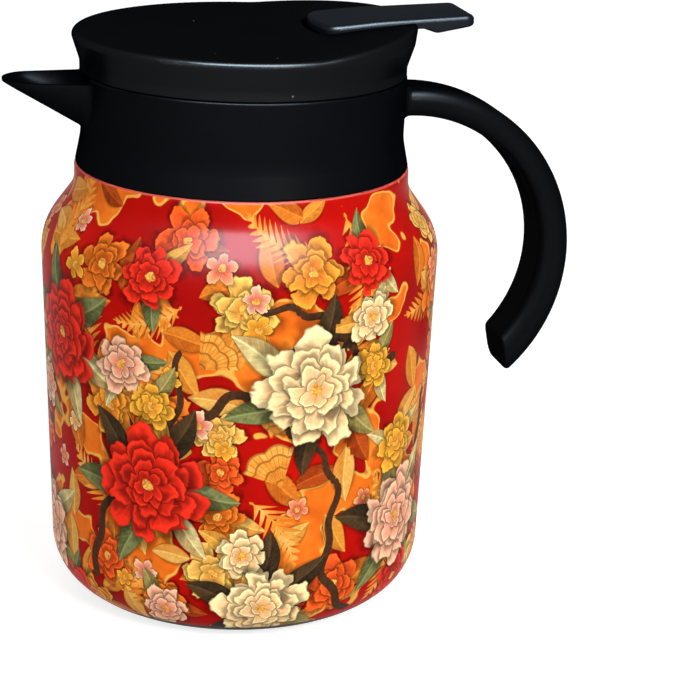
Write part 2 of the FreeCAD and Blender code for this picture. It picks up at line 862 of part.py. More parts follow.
def lid_plug():
    """Cup that plugs the flask's mouth, with the valve seat in its floor and pouring windows in its wall."""
    groove = plug_radius - seal_groove_depth
    groove_low = plug_bottom + seal_groove_rise
    groove_high = groove_low + seal_groove_height
    seat_outer = valve_hole_radius + seat_width
    cup = turned([
        (valve_hole_radius, plug_bottom),
        (plug_radius, plug_bottom, plug_bottom_round),
        (plug_radius, groove_low),
        (groove, groove_low),
        (groove, groove_high),
        (plug_radius, groove_high),
        (plug_radius, deck_plate_bottom),
        (plug_inner_radius, deck_plate_bottom),
        (plug_inner_radius, plug_floor_top, plug_bottom_round - edge_break),
        (seat_outer, plug_floor_top),
        (seat_outer, plug_floor_top + seat_height),
        (valve_hole_radius, plug_floor_top + seat_height),
    ])
    inside = upright_cylinder(0, 0, plug_radius - plug_wall / 2, plug_bottom, deck_plate_bottom)
    for x, y in screw_places():
        boss = upright_cylinder(x, y, boss_radius, deck_plate_bottom - boss_length, deck_plate_bottom)
        cup = cup.fuse(boss.common(inside))
    pilot = screw_shank_radius + fit_clearance
    pilot_low = deck_plate_top - screw_shank_length - fit_clearance
    for x, y in screw_places():
        cup = cup.cut(upright_cylinder(x, y, pilot, pilot_low, deck_plate_bottom + overcut))
    high = deck_plate_bottom - window_drop
    step = window_width + window_rib
    for i in range(window_count):
        middle = (i - (window_count - 1) / 2) * step
        half = window_width / 2
        cup = cup.cut(block((-plug_radius - overcut, middle - half, high - window_height),
                            (-plug_inner_radius / 2, middle + half, high)))
    return cup.removeSplitter()


def plug_seal():
    """Two-finned silicone ring that seals the plug in the flask's mouth."""
    groove = plug_radius - seal_groove_depth
    low = plug_bottom + seal_groove_rise
    high = low + seal_groove_height
    tip = mouth_radius - seal_clearance
    fin = seal_groove_height / 6
    return turned([
        (groove, low), (plug_radius, low), (tip, low + fin), (plug_radius, low + 3 * fin),
        (tip, high - fin), (plug_radius, high), (groove, high),
    ])


def lid_screws():
    """Pan-head screws driven down through the deck into the plug's bosses."""
    screws = []
    for x, y in screw_places():
        shank_low = deck_plate_top - screw_shank_length
        shank = upright_cylinder(x, y, screw_shank_radius, shank_low, deck_plate_top)
        head = upright_cylinder(x, y, screw_head_radius, deck_plate_top, deck_plate_top + screw_head_height)
        half, reach = screw_slot_width / 2, screw_slot_reach
        low, high = deck_plate_top + screw_head_height / 2, deck_plate_top + screw_head_height + overcut
        head = head.cut([block((x - reach, y - half, low), (x + reach, y + half, high)),
                         block((x - half, y - reach, low), (x + half, y + reach, high))])
        screws.append(shank.fuse(head).removeSplitter())
    return Part.makeCompound(screws)


# Lever
def lever_body():
    """The part of the lever that shows: a tapered paddle with rounded edges and a swelling past the rim."""
    climb = (lever_bend_rise - lever_front_rise) / (lever_bend - lever_front)
    ease = (lever_rear_rise - lever_bend_rise) / (lever_rear - lever_bend)
    before, past = lever_front - lever_front_round, lever_rear + lever_rear_round
    rear_top = lid_top + lever_rear_rise
    skirt_rear = pocket_rear - 3 * lever_clearance
    hump = lid_crest_radius + lever_hump_reach
    rear_low = rear_top - lever_rear_thickness
    hump_low = lever_under - lever_hump_depth
    rear_slope = (rear_low - hump_low) / (lever_rear - hump)
    side = slab([
        (before, lid_top + lever_front_rise + climb * (before - lever_front)),
        (before, skirt_under),
        (skirt_rear, skirt_under),
        (skirt_rear, lever_under),
        (lid_crest_radius - edge_break, lever_under),
        (hump, hump_low, lever_hump_round),
        (past, rear_low + rear_slope * (past - lever_rear)),
        (past, rear_top + ease * (past - lever_rear)),
        (lever_bend, lid_top + lever_bend_rise, lever_bend_round),
    ])
    body = lever_prism(0, 0, lever_rear, lever_rear_round).common(side)
    body = rounded(body, rim_of_top(body), lever_edge_round)

    def on_swelling(edge):
        box = edge.BoundBox
        inner_line = box.XMax < lever_rear - lever_rear_round and box.XLength < running_clearance
        return box.ZMax < rear_low + edge_break and box.XMin > lid_crest_radius - 2 * edge_break and not inner_line

    return rounded(body, [edge for edge in body.Edges if on_swelling(edge)], lever_under_round)


def thumb_lever():
    """The lever with its hinge block and the forked arm that reaches under the lid to the stem."""
    body = lever_body()
    neck = block((pivot_reach - hinge_block_radius, -hinge_block_half_width, pivot_height),
                 (pivot_reach + hinge_block_radius, hinge_block_half_width, skirt_under + edge_break))
    barrel = cross_cylinder(pivot_reach, pivot_height, hinge_block_radius, hinge_block_half_width)
    tilt = math.tan(math.radians(press_angle / 2))
    elbow = lever_front - lever_front_gap - pocket_wall - lever_clearance

    def arm_line(x):
        return arm_top + tilt * x

    arm = outline_face([
        (-arm_overrun, arm_line(-arm_overrun)),
        (-arm_overrun, arm_line(-arm_overrun) - arm_thickness),
        (elbow, arm_line(elbow) - arm_thickness, arm_elbow_round),
        (pivot_reach, pivot_height - hinge_block_radius / 2),
        (pivot_reach, pivot_height + hinge_block_radius / 2),
        (elbow, arm_line(elbow), arm_elbow_round),
    ], upright)
    arm.translate(across * -arm_half_width)
    arm = arm.extrude(across * 2 * arm_half_width)
    fork_half = stem_radius + fork_clearance
    low, high = pocket_floor - pocket_depth, lid_top
    fork = block((-arm_overrun - overcut, -fork_half, low), (fork_depth, fork_half, high))
    fork = fork.fuse(upright_cylinder(fork_depth, 0, fork_half, low, high))
    lever = body.fuse([neck, barrel, arm.cut(fork)]).removeSplitter()
    return lever.cut(cross_cylinder(pivot_reach, pivot_height, pin_radius + running_clearance, lever_rear))


# Valve
def valve_stem():
    """Rod from the valve head up through the deck to the cap that the lever lifts."""
    return turned([
        (0, stem_foot),
        (stem_radius, stem_foot),
        (stem_radius, cap_bottom),
        (stem_spigot_radius, cap_bottom),
        (stem_spigot_radius, cap_top),
        (0, cap_top),
    ])


def stem_cap():
    """Cap pressed on the stem's spigot, which the fork of the lever lifts."""
    edge = stem_cap_height / 5
    return turned([
        (stem_spigot_radius, cap_bottom),
        (stem_cap_radius, cap_bottom, edge),
        (stem_cap_radius, cap_top, edge),
        (stem_spigot_radius, cap_top),
    ])


def valve_head():
    """Disc on the stem's foot, with the hub that holds its seal."""
    return turned([
        (0, seal_bottom),
        (valve_hub_radius, seal_bottom, edge_break),
        (valve_hub_radius, head_bottom),
        (valve_head_radius, head_bottom),
        (valve_head_radius, head_top, 2 * edge_break),
        (stem_radius, head_top),
        (stem_radius, stem_foot),
        (0, stem_foot),
    ])


def valve_seal():
    """Silicone washer that closes on the raised seat in the plug's floor."""
    return ring(valve_hub_radius, valve_hub_radius + valve_seal_width, seal_bottom, head_bottom)


def biarc(start, start_way, end, end_way):
    """Two arcs that join two points with given directions, meeting smoothly half way."""
    gap = end - start
    ways = start_way + end_way
    rest = 2 * (1 - start_way.dot(end_way))
    reach = (math.sqrt(gap.dot(ways) ** 2 + rest * gap.dot(gap)) - gap.dot(ways)) / rest
    first_corner, last_corner = start + start_way * reach, end - end_way * reach
    joint = (first_corner + last_corner) * 0.5
    arcs = []
    for a, corner, b in ((start, first_corner, joint), (joint, last_corner, end)):
        middle = (a + b) * 0.5
        half, rise = (b - a).Length / 2, (corner - middle).Length
        sagitta = half * math.tan(math.atan2(rise, half) / 2)
        arcs.append(Part.Arc(a, middle + (corner - middle) * (sagitta / rise), b).toShape())
    return arcs


def valve_spring():
    """Open-ended compression spring between the valve head and the deck, one tube on quarter-turn biarcs."""
    low = head_top + spring_wire_radius
    high = deck_plate_bottom - spring_wire_radius
    climb = (high - low) / spring_turns
    steps = 4 * spring_turns

    def point(i):
        t = math.pi * i / 2
        return Vector(spring_coil_radius * math.cos(t), spring_coil_radius * math.sin(t), low + climb * i / 4)

    def way(i):
        t = math.pi * i / 2
        flat = Vector(-math.sin(t), math.cos(t), 0) * spring_coil_radius
        return (flat + up * (climb / (2 * math.pi))).normalize()

    arcs = []
    for i in range(steps):
        arcs += biarc(point(i), way(i), point(i + 1), way(i + 1))
    print("spring gap between turns", round(climb - 2 * spring_wire_radius, 2))
    wire = Part.Wire(Part.Circle(point(0), way(0), spring_wire_radius).toShape())
    return Part.Wire(arcs).makePipeShell([wire], True, False)


pieces = {
    "outer_shell": sheet_metal(shell_path(), shell_wall),
    "inner_liner": sheet_metal(liner_path(), liner_wall),
    "base_plate": base_plate(),
    "getter": getter(),
    "base_pad": base_pad(),
    "collar": collar(),
    "collar_seal": collar_seal(),
    "handle": handle(),
    "handle_cover": handle_cover(),
    "lid_cover": lid_cover(),
    "lid_deck": lid_deck(),
    "lid_plug": lid_plug(),
    "lid_screws": lid_screws(),
    "lid_gasket": lid_gasket(),
    "plug_seal": plug_seal(),
    "stem_wiper": stem_wiper(),
    "lever_pin": lever_pin(),
    "thumb_lever": thumb_lever(),
    "valve_stem": valve_stem(),
    "stem_cap": stem_cap(),
    "valve_head": valve_head(),
    "valve_seal": valve_seal(),
    "valve_spring": valve_spring(),
}

os.makedirs("parts", exist_ok=True)
for name, shape in pieces.items():
    shape.exportStep(f"parts/{name}.step")
    print(name, "valid" if shape.isValid() else "NOT VALID", len(shape.Solids), round(shape.Volume, 1))
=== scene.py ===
import math

import bpy
import numpy as np
from mathutils import Matrix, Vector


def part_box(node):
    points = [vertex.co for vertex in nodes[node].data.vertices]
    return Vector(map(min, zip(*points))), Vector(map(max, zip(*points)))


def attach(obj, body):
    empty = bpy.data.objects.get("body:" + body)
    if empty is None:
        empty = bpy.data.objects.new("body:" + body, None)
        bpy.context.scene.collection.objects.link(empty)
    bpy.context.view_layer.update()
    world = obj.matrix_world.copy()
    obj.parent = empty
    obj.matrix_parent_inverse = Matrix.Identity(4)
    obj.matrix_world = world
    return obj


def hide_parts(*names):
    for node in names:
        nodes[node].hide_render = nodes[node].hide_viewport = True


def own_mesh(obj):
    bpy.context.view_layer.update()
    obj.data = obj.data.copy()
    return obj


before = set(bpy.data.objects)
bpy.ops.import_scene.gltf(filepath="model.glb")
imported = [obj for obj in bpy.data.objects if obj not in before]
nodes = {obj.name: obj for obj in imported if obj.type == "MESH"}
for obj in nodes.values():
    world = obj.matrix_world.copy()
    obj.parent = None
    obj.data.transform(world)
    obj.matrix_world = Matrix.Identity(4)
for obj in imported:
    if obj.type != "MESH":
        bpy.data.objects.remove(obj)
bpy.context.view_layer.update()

# Printed body
# The outer wall is drawn stainless steel, sprayed deep red and heat-printed all round with blossoms,
# leaves and gold fans. A clear lacquer with a fine sprayed grain seals the print. The wall is one closed
# turned sheet, welded to the inner flask at its lip.
MM = 0.001
WALL = 0.8
WRAP_RADIUS = 61.5
AROUND = 256
PRINT_STEP = 1.5
LEAST_ARC_STEPS = 6
INSIDE_STRIDE = 4
LEVEL_HEIGHT = 60
BODY_CORNERS = (
    (36.0, 0.8, 0.0), (58.6, 0.8, 18.0), (62.22, 118.49, 20.0), (51.8, 132.6, 9.0),
    (51.8, 139.6, 1.2), (47.0, 139.6, 0.6), (47.0, 150.7, 0.0),
)


def rounded_path(corners, step):
    """Points along straight runs joined by arcs.

    Each corner (radius, height, round) is cut back along both runs by round / tan(half the corner's angle).
    The arc between the cuts turns evenly about the centre, which lies round / sin(half angle) along the
    bisector.
    """
    ends = np.array([c[:2] for c in corners], float)
    points = [ends[:1]]
    for before, here, after, (_, _, radius) in zip(ends, ends[1:], ends[2:], corners[1:-1]):
        a = (before - here) / np.linalg.norm(before - here)
        b = (after - here) / np.linalg.norm(after - here)
        half = math.acos(float(a @ b)) / 2
        middle = (a + b) / np.linalg.norm(a + b)
        centre = here + middle * radius / math.sin(half)
        start, stop = here + a * radius / math.tan(half), here + b * radius / math.tan(half)
        first = math.atan2(*(start - centre)[::-1])
        sweep = (math.atan2(*(stop - centre)[::-1]) - first + math.pi) % (2 * math.pi) - math.pi
        count = max(LEAST_ARC_STEPS, math.ceil(abs(sweep) * radius / step))
        turn = first + sweep * np.linspace(0, 1, count + 1)
        points.append(centre + radius * np.stack([np.cos(turn), np.sin(turn)], 1))
    points.append(ends[-1:])
    path = np.concatenate(points)
    runs = [path[:1]]
    for a, b in zip(path, path[1:]):
        pieces = max(1, math.ceil(np.linalg.norm(b - a) / step))
        runs.append(a + (b - a) * (np.arange(1, pieces + 1) / pieces)[:, None])
    return np.concatenate(runs)


def turned_mesh(name, loop, count):
    """A closed profile loop of (radius, height) carried round the axis.

    x = r cos t, y = r sin t and z = height.
    """
    t = 2 * np.pi * np.arange(count) / count
    xyz = np.stack([loop[:, :1] * np.cos(t), loop[:, :1] * np.sin(t), loop[:, 1:] + 0 * t], -1)
    xyz = xyz.reshape(-1, 3)
    i, j = np.meshgrid(np.arange(len(loop)), np.arange(count), indexing="ij")
    p, q = (i + 1) % len(loop), (j + 1) % count
    quads = np.stack([i * count + j, i * count + q, p * count + q, p * count + j], -1).reshape(-1, 4)
    mesh = bpy.data.meshes.new(name)
    mesh.vertices.add(len(xyz))
    mesh.vertices.foreach_set("co", (xyz * MM).astype(np.float32).ravel())
    mesh.loops.add(quads.size)
    mesh.loops.foreach_set("vertex_index", quads.astype(np.int32).ravel())
    mesh.polygons.add(len(quads))
    mesh.polygons.foreach_set("loop_start", (4 * np.arange(len(quads))).astype(np.int32))
    mesh.polygons.foreach_set("use_smooth", np.ones(len(quads), bool))
    mesh.update()
    mesh.validate()
    return mesh


outside = rounded_path(BODY_CORNERS, PRINT_STEP)
along = np.gradient(outside, axis=0)
along /= np.linalg.norm(along, axis=1)[:, None]
inside = (outside + WALL * np.stack([-along[:, 1], along[:, 0]], 1))[::-INSIDE_STRIDE]
body_mesh = turned_mesh("printed_body", np.concatenate([outside, inside]), AROUND)
printed_body = bpy.data.objects.new("printed_body", body_mesh)
bpy.context.scene.collection.objects.link(printed_body)
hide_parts("outer_shell")
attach(printed_body, "pot")

# Where each printed face lies on the unrolled wall: u runs round the jug in millimetres, v up its side, equal
# to the height at LEVEL_HEIGHT.
girth = 2 * np.pi * WRAP_RADIUS
run = np.concatenate([[0], np.cumsum(np.linalg.norm(np.diff(outside, axis=0), axis=1))])
level = np.argmin(np.abs(outside[:, 1] - LEVEL_HEIGHT))
run += outside[level, 1] - run[level]
col = girth * np.arange(AROUND + 1) / AROUND
face_u = np.stack([col[:-1], col[1:], col[1:], col[:-1]], 1)[None] + np.zeros((len(run) - 1, 1, 1))
face_v = np.stack([run[:-1], run[:-1], run[1:], run[1:]], 1)[:, None] + np.zeros((1, AROUND, 1))
face_u, face_v = face_u.reshape(-1, 4), face_v.reshape(-1, 4)
OFF_PRINT = 9.0


def lay_motifs(name, motifs, slim):
    """Gives each printed face the own coordinates of the motif that covers it.

    A motif is (u, v, size, turn, kind). The face takes the motif that it lies deepest in, by the distance to
    its centre in sizes, with slim as the motif's height over its length. Each corner keeps x, y in that
    motif's turned frame, in sizes, so the shader can draw it sharp at any scale.
    """
    u0, v0, size, turn, kind = np.array(motifs, float).T
    mid_u, mid_v = face_u.mean(1), face_v.mean(1)
    du = (mid_u[:, None] - u0 + girth / 2) % girth - girth / 2
    dv = mid_v[:, None] - v0
    ahead_of = np.cos(turn) * du + np.sin(turn) * dv
    beside = np.cos(turn) * dv - np.sin(turn) * du
    best = np.argmin(np.hypot(ahead_of, beside / slim) / size, axis=1)
    pick = np.arange(len(mid_u))
    corner_u = du[pick, best][:, None] + face_u - mid_u[:, None]
    corner_v = face_v - v0[best][:, None]
    c, s = np.cos(turn[best])[:, None], np.sin(turn[best])[:, None]
    scale = size[best][:, None]
    own = np.stack([(c * corner_u + s * corner_v) / scale, (c * corner_v - s * corner_u) / scale,
                    kind[best][:, None] + 0 * corner_u], -1)
    values = np.zeros((len(body_mesh.loops), 3), np.float32)
    values[:] = (OFF_PRINT, OFF_PRINT, 0)
    values[:own.size // 3] = own.reshape(-1, 3)
    body_mesh.attributes.new(name, "FLOAT_VECTOR", "CORNER").data.foreach_set("vector", values.ravel())


ANY_TURN = 6.3
TRIES = 40
BLOOM_KINDS = [0.1, 0.3, 0.5, 0.7]
STAR_KINDS = [0.1, 0.3, 0.7, 0.9]
SIDE_LEAF_KINDS = [0.1, 0.3, 0.5, 0.9]
PRINT_SEED = 41
rng = np.random.default_rng(PRINT_SEED)


def scatter(count, low, high, sizes, taken, room):
    """Seeded places on the wall that keep room times the sum of both sizes from each other and from taken."""
    found = []
    for _ in range(count * TRIES):
        if len(found) == count:
            break
        u, v, size = rng.uniform(0, girth), rng.uniform(low, high), rng.uniform(*sizes)
        near = np.array(taken + found, float).reshape(-1, 3)
        gap = np.hypot((near[:, 0] - u + girth / 2) % girth - girth / 2, near[:, 1] - v)
        if (gap > room * (near[:, 2] + size)).all():
            found.append((u, v, size))
    return found


def strewn(places, kinds=None):
    """Each place (u, v, size) with a drawn turn and a drawn kind: one of kinds, or any from nought to one."""
    return [(*place, rng.uniform(0, ANY_TURN), rng.choice(kinds) if kinds else rng.uniform(0, 1))
            for place in places]


full_blooms = [
    (301, 84, 18.5, 0.3, 0.10), (250, 52, 18.0, 1.1, 0.50), (337, 35, 17.0, 2.0, 0.30),
    (213, 92, 16.5, 0.7, 0.50), (286, 14, 15.0, 1.7, 0.10), (8, 79, 18.0, 0.2, 0.50),
    (52, 40, 17.5, 0.9, 0.10), (97, 88, 18.0, 2.4, 0.30), (140, 46, 17.5, 1.4, 0.50),
    (172, 96, 15.5, 0.5, 0.10), (195, 24, 17.0, 2.8, 0.30),
]
crowded = [m[:3] for m in full_blooms]
side_blooms = strewn(scatter(22, low=-6, high=124, sizes=(7.5, 10.5), taken=crowded, room=0.80), BLOOM_KINDS)
crowded += [m[:3] for m in side_blooms]
star_blooms = strewn(scatter(60, low=-14, high=132, sizes=(3.2, 5.2), taken=crowded, room=0.92), STAR_KINDS)
LEAVES_ROUND, LEAF_STRAY, LEAF_REACH, LEAF_SIZES = 6, 0.2, (0.98, 1.12), (9, 11.5)
SIDE_LEAVES, SIDE_LEAF_STEP, SIDE_LEAF_SIZES = 2, 2.2, (6, 8)
leaves = []
for u, v, size, turn, _ in full_blooms:
    for k in range(LEAVES_ROUND):
        way = turn + 2 * math.pi * k / LEAVES_ROUND + rng.uniform(-LEAF_STRAY, LEAF_STRAY)
        reach = size * rng.uniform(*LEAF_REACH)
        leaves.append((u + reach * math.cos(way), v + reach * math.sin(way), rng.uniform(*LEAF_SIZES), way,
                       rng.choice(BLOOM_KINDS)))
for u, v, size, turn, _ in side_blooms:
    for k in range(SIDE_LEAVES):
        way = turn + k * SIDE_LEAF_STEP
        leaves.append((u + size * math.cos(way), v + size * math.sin(way), rng.uniform(*SIDE_LEAF_SIZES),
                       way, rng.choice(SIDE_LEAF_KINDS)))
gold_blooms = strewn(scatter(46, low=-16, high=134, sizes=(6.5, 11.5), taken=[m[:3] for m in full_blooms],
                             room=0.74))
fans = strewn(scatter(24, low=-10, high=132, sizes=(7.5, 10.0), taken=[m[:3] for m in gold_blooms],
                      room=0.80))
fronds = strewn(scatter(44, low=-16, high=136, sizes=(12, 17), taken=[], room=0.66))
back_leaves = strewn(scatter(210, low=-18, high=140, sizes=(6, 10), taken=[], room=0.52))
lay_motifs("full_bloom", full_blooms, slim=1)
lay_motifs("side_bloom", side_blooms, slim=1)
lay_motifs("star_bloom", star_blooms, slim=1)
lay_motifs("leaf", leaves, slim=0.42)
lay_motifs("gold_bloom", gold_blooms, slim=1)
lay_motifs("fan", fans, slim=1)
lay_motifs("frond", fronds, slim=0.5)
lay_motifs("back_leaf", back_leaves, slim=0.48)

# Twigs: a point's share of the nearest twig's half width, from the distance to winding sine lines. Each is
# (u, v, length, way, sway) and thins out along its length.
TWIGS = (
    (228, 18, 84, 1.15, 5), (318, 8, 70, 1.9, 6), (262, 70, 64, 0.55, 4), (30, 20, 90, 1.3, 6),
    (88, 16, 82, 1.75, 5), (126, 30, 84, 1.2, 6), (172, 40, 70, 1.6, 5), (352, 50, 76, 1.2, 6),
    (200, 60, 60, 2.3, 4), (330, 90, 52, 2.7, 3),
)
TWIG_STEPS = 160
TWIG_ROOT, TWIG_THINNING = 1.7, 0.6
TWIG_BENDS, TWIG_KNOTS, TWIG_KNOT_DEPTH = 2.2, 9, 1.2
POINTS_AT_ONCE = 40
NO_TWIG = 99.0
twig_t = np.linspace(0, 1, TWIG_STEPS)
twig_u, twig_v, twig_w = [], [], []
for u, v, length, way, sway in TWIGS:
    side = sway * np.sin(TWIG_BENDS * np.pi * twig_t)
    side += TWIG_KNOT_DEPTH * np.sin(TWIG_KNOTS * np.pi * twig_t)
    twig_u.append(u + length * twig_t * math.cos(way) - side * math.sin(way))
    twig_v.append(v + length * twig_t * math.sin(way) + side * math.cos(way))
    twig_w.append(TWIG_ROOT - TWIG_THINNING * twig_t)
twig_u, twig_v, twig_w = np.concatenate(twig_u), np.concatenate(twig_v), np.concatenate(twig_w)
point_u = np.tile(col[:-1], len(run))
point_v = np.repeat(run, AROUND)
nearest = np.full(len(body_mesh.vertices), NO_TWIG, np.float32)
for k in range(0, len(twig_u), POINTS_AT_ONCE):
    some = slice(k, k + POINTS_AT_ONCE)
    du = (point_u[:, None] - twig_u[some] + girth / 2) % girth - girth / 2
    share = np.hypot(du, point_v[:, None] - twig_v[some]) / twig_w[some]
    nearest[:len(point_u)] = np.minimum(nearest[:len(point_u)], share.min(1))
body_mesh.attributes.new("twig", "FLOAT", "POINT").data.foreach_set("value", nearest)


def join(tree, socket, value):
    """A value that is a socket is linked; any other is written on the socket."""
    if isinstance(value, bpy.types.NodeSocket):
        tree.links.new(value, socket)
    else:
        socket.default_value = value


def calc(tree, operation, *values):
    """One Math node."""
    node = tree.nodes.new("ShaderNodeMath")
    node.operation = operation
    for socket, value in zip(node.inputs, values):
        join(tree, socket, value)
    return node.outputs[0]


def blend(tree, factor, a, b, mode="MIX"):
    """One colour Mix node."""
    node = tree.nodes.new("ShaderNodeMix")
    node.data_type, node.blend_type = "RGBA", mode
    for socket, value in zip((node.inputs[0], node.inputs[6], node.inputs[7]), (factor, a, b)):
        join(tree, socket, value)
    return node.outputs[2]


def span(tree, value, low, high, to_low=0.0, to_high=1.0):
    """A smooth step: to_low at low, to_high at high."""
    node = tree.nodes.new("ShaderNodeMapRange")
    node.interpolation_type = "SMOOTHSTEP"
    for socket, v in zip(node.inputs, (value, low, high, to_low, to_high)):
        join(tree, socket, v)
    return node.outputs[0]


def palette(tree, value, colours, soft=False):
    """A ramp of evenly spaced colours, in steps or blended."""
    node = tree.nodes.new("ShaderNodeValToRGB")
    ramp = node.color_ramp
    ramp.interpolation = "LINEAR" if soft else "CONSTANT"
    while len(ramp.elements) < len(colours):
        ramp.elements.new(1.0)
    for k, colour in enumerate(colours):
        ramp.elements[k].position = k / (len(colours) - 1 if soft else len(colours))
        ramp.elements[k].color = (*colour, 1)
    join(tree, node.inputs[0], value)
    return node.outputs[0]


def noise(tree, vector, scale, detail=2.0, colour=False):
    """A Noise Texture's value or colour."""
    node = tree.nodes.new("ShaderNodeTexNoise")
    node.inputs["Scale"].default_value = scale
    node.inputs["Detail"].default_value = detail
    join(tree, node.inputs["Vector"], vector)
    return node.outputs["Color" if colour else 0]


def vector_of(tree, x, y, z):
    """Three values as one vector."""
    node = tree.nodes.new("ShaderNodeCombineXYZ")
    for socket, value in zip(node.inputs, (x, y, z)):
        join(tree, socket, value)
    return node.outputs[0]


def parts_of(tree, vector):
    """The three values of a vector."""
    node = tree.nodes.new("ShaderNodeSeparateXYZ")
    join(tree, node.inputs[0], vector)
    return node.outputs


def dimmed(tree, colour, value):
    """A colour times a value."""
    return blend(tree, 1.0, colour, vector_of(tree, value, value, value), "MULTIPLY")


def clipped(tree, value):
    """A value kept from nought to one."""
    return calc(tree, "MINIMUM", calc(tree, "MAXIMUM", value, 0.0), 1.0)


def start_group(name, inputs, outputs):
    """An empty shader group with named sockets; gives its tree, its input sockets and its output sockets."""
    tree = bpy.data.node_groups.new(name, "ShaderNodeTree")
    for label, kind in inputs:
        tree.interface.new_socket(label, in_out="INPUT", socket_type="NodeSocket" + kind)
    for label, kind in outputs:
        tree.interface.new_socket(label, in_out="OUTPUT", socket_type="NodeSocket" + kind)
    return tree, tree.nodes.new("NodeGroupInput").outputs, tree.nodes.new("NodeGroupOutput").inputs


def use_group(tree, group, **values):
    """A group placed in a tree, with a value or a link for each socket that is named."""
    node = tree.nodes.new("ShaderNodeGroup")
    node.node_tree = group
    for label, value in values.items():
        join(tree, node.inputs[label], value)
    return node.outputs


# One ring of painted petals: the angle is cut into equal shares, each petal's edge falls from its middle to
# its sides, and the colour runs from heart to rim with radial streaks, a pale border and an ink line.
petal_ring, pin, pout = start_group(
    "petal ring",
    [("Under", "Color"), ("Distance", "Float"), ("Turn", "Float"), ("Petals", "Float"), ("Reach", "Float"),
     ("Twist", "Float"), ("Depth", "Float"), ("Point", "Float"), ("Heart", "Color"), ("Rim", "Color"),
     ("Seed", "Float")],
    [("Color", "Color")])
RUFFLES, RUFFLE_DEPTH = 4.0, 0.22
STREAKS_ACROSS, STREAKS_ALONG = 9.0, 2.0
SHORTEST_PETAL, PETAL_SPREAD = 0.86, 0.26
DARKEST_PETAL, PETAL_LIGHT_SPREAD = 0.80, 0.34
PALE_BORDER, PETAL_INK, PETAL_SHADE = 0.22, 0.42, 0.42
g = petal_ring
share = calc(g, "ADD", calc(g, "MULTIPLY", pin["Turn"], pin["Petals"]), pin["Twist"])
off_middle = calc(g, "MULTIPLY", calc(g, "ABSOLUTE", calc(g, "SUBTRACT", calc(g, "FRACT", share), 0.5)), 2.0)
draw = g.nodes.new("ShaderNodeTexWhiteNoise")
join(g, draw.inputs["Vector"], vector_of(g, calc(g, "FLOOR", share), pin["Reach"], pin["Seed"]))
own = draw.outputs["Value"]
fall = calc(g, "MULTIPLY", pin["Depth"], calc(g, "POWER", off_middle, pin["Point"]))
waves = vector_of(g, calc(g, "MULTIPLY", share, RUFFLES), pin["Seed"], pin["Reach"])
ruffle = noise(g, waves, scale=1.0, detail=2.0)
fall = calc(g, "MULTIPLY_ADD", ruffle, RUFFLE_DEPTH, calc(g, "SUBTRACT", fall, RUFFLE_DEPTH / 2))
length = calc(g, "SUBTRACT", calc(g, "MULTIPLY_ADD", own, PETAL_SPREAD, SHORTEST_PETAL), fall)
edge = calc(g, "MULTIPLY", pin["Reach"], length)
out = calc(g, "DIVIDE", pin["Distance"], edge)
across = calc(g, "MULTIPLY", share, STREAKS_ACROSS)
inward = calc(g, "MULTIPLY", pin["Distance"], STREAKS_ALONG)
streak = noise(g, vector_of(g, across, inward, pin["Seed"]), scale=1.0, detail=3.0)
tone = calc(g, "ADD", calc(g, "POWER", out, 1.4), calc(g, "MULTIPLY_ADD", streak, 0.5, -0.25))
paint = blend(g, clipped(g, tone), pin["Heart"], pin["Rim"])
light = calc(g, "MULTIPLY", calc(g, "MULTIPLY_ADD", own, PETAL_LIGHT_SPREAD, DARKEST_PETAL),
             calc(g, "MULTIPLY_ADD", calc(g, "POWER", off_middle, 4.0), -0.40, 1.0))
light = calc(g, "MULTIPLY", light, calc(g, "MULTIPLY_ADD", streak, 0.36, 0.82))
border = calc(g, "MULTIPLY", span(g, out, 0.80, 0.90), span(g, out, 0.985, 0.94))
light = calc(g, "ADD", light, calc(g, "MULTIPLY", border, PALE_BORDER))
light = calc(g, "MULTIPLY", light, span(g, out, 0.95, 0.995, 1.0, PETAL_INK))
paint = dimmed(g, paint, light)
under = dimmed(g, pin["Under"], span(g, out, 0.98, 1.28, PETAL_SHADE, 1.0))
inside_petal = span(g, out, 1.0, 0.975)
join(g, pout["Color"], blend(g, inside_petal, under, paint))

HEARTS = ((1.00, 0.31, 0.064), (0.84, 0.064, 0.032), (0.31, 0.0026, 0.0026), (0.74, 0.19, 0.013),
          (0.59, 0.015, 0.010))
RIMS = ((1.0, 0.84, 0.44), (1.0, 0.64, 0.40), (0.92, 0.034, 0.013), (1.0, 0.52, 0.052), (1.0, 0.42, 0.20))
GOLD_HEARTS = ((0.54, 0.090, 0.0077), (0.38, 0.038, 0.0038), (0.70, 0.19, 0.015), (0.46, 0.013, 0.0038))
GOLD_RIMS = ((1.00, 0.38, 0.038), (0.92, 0.22, 0.019), (1.00, 0.64, 0.14), (1.00, 0.14, 0.019))
STAMENS = ((1.00, 1.00, 0.28), (0.96, 0.44, 0.064), (0.36, 0.077, 0.026))
STAMENS_ACROSS = 2.2
WOBBLES, WOBBLE = 2.6, 0.40
KINDS_APART = 40.0


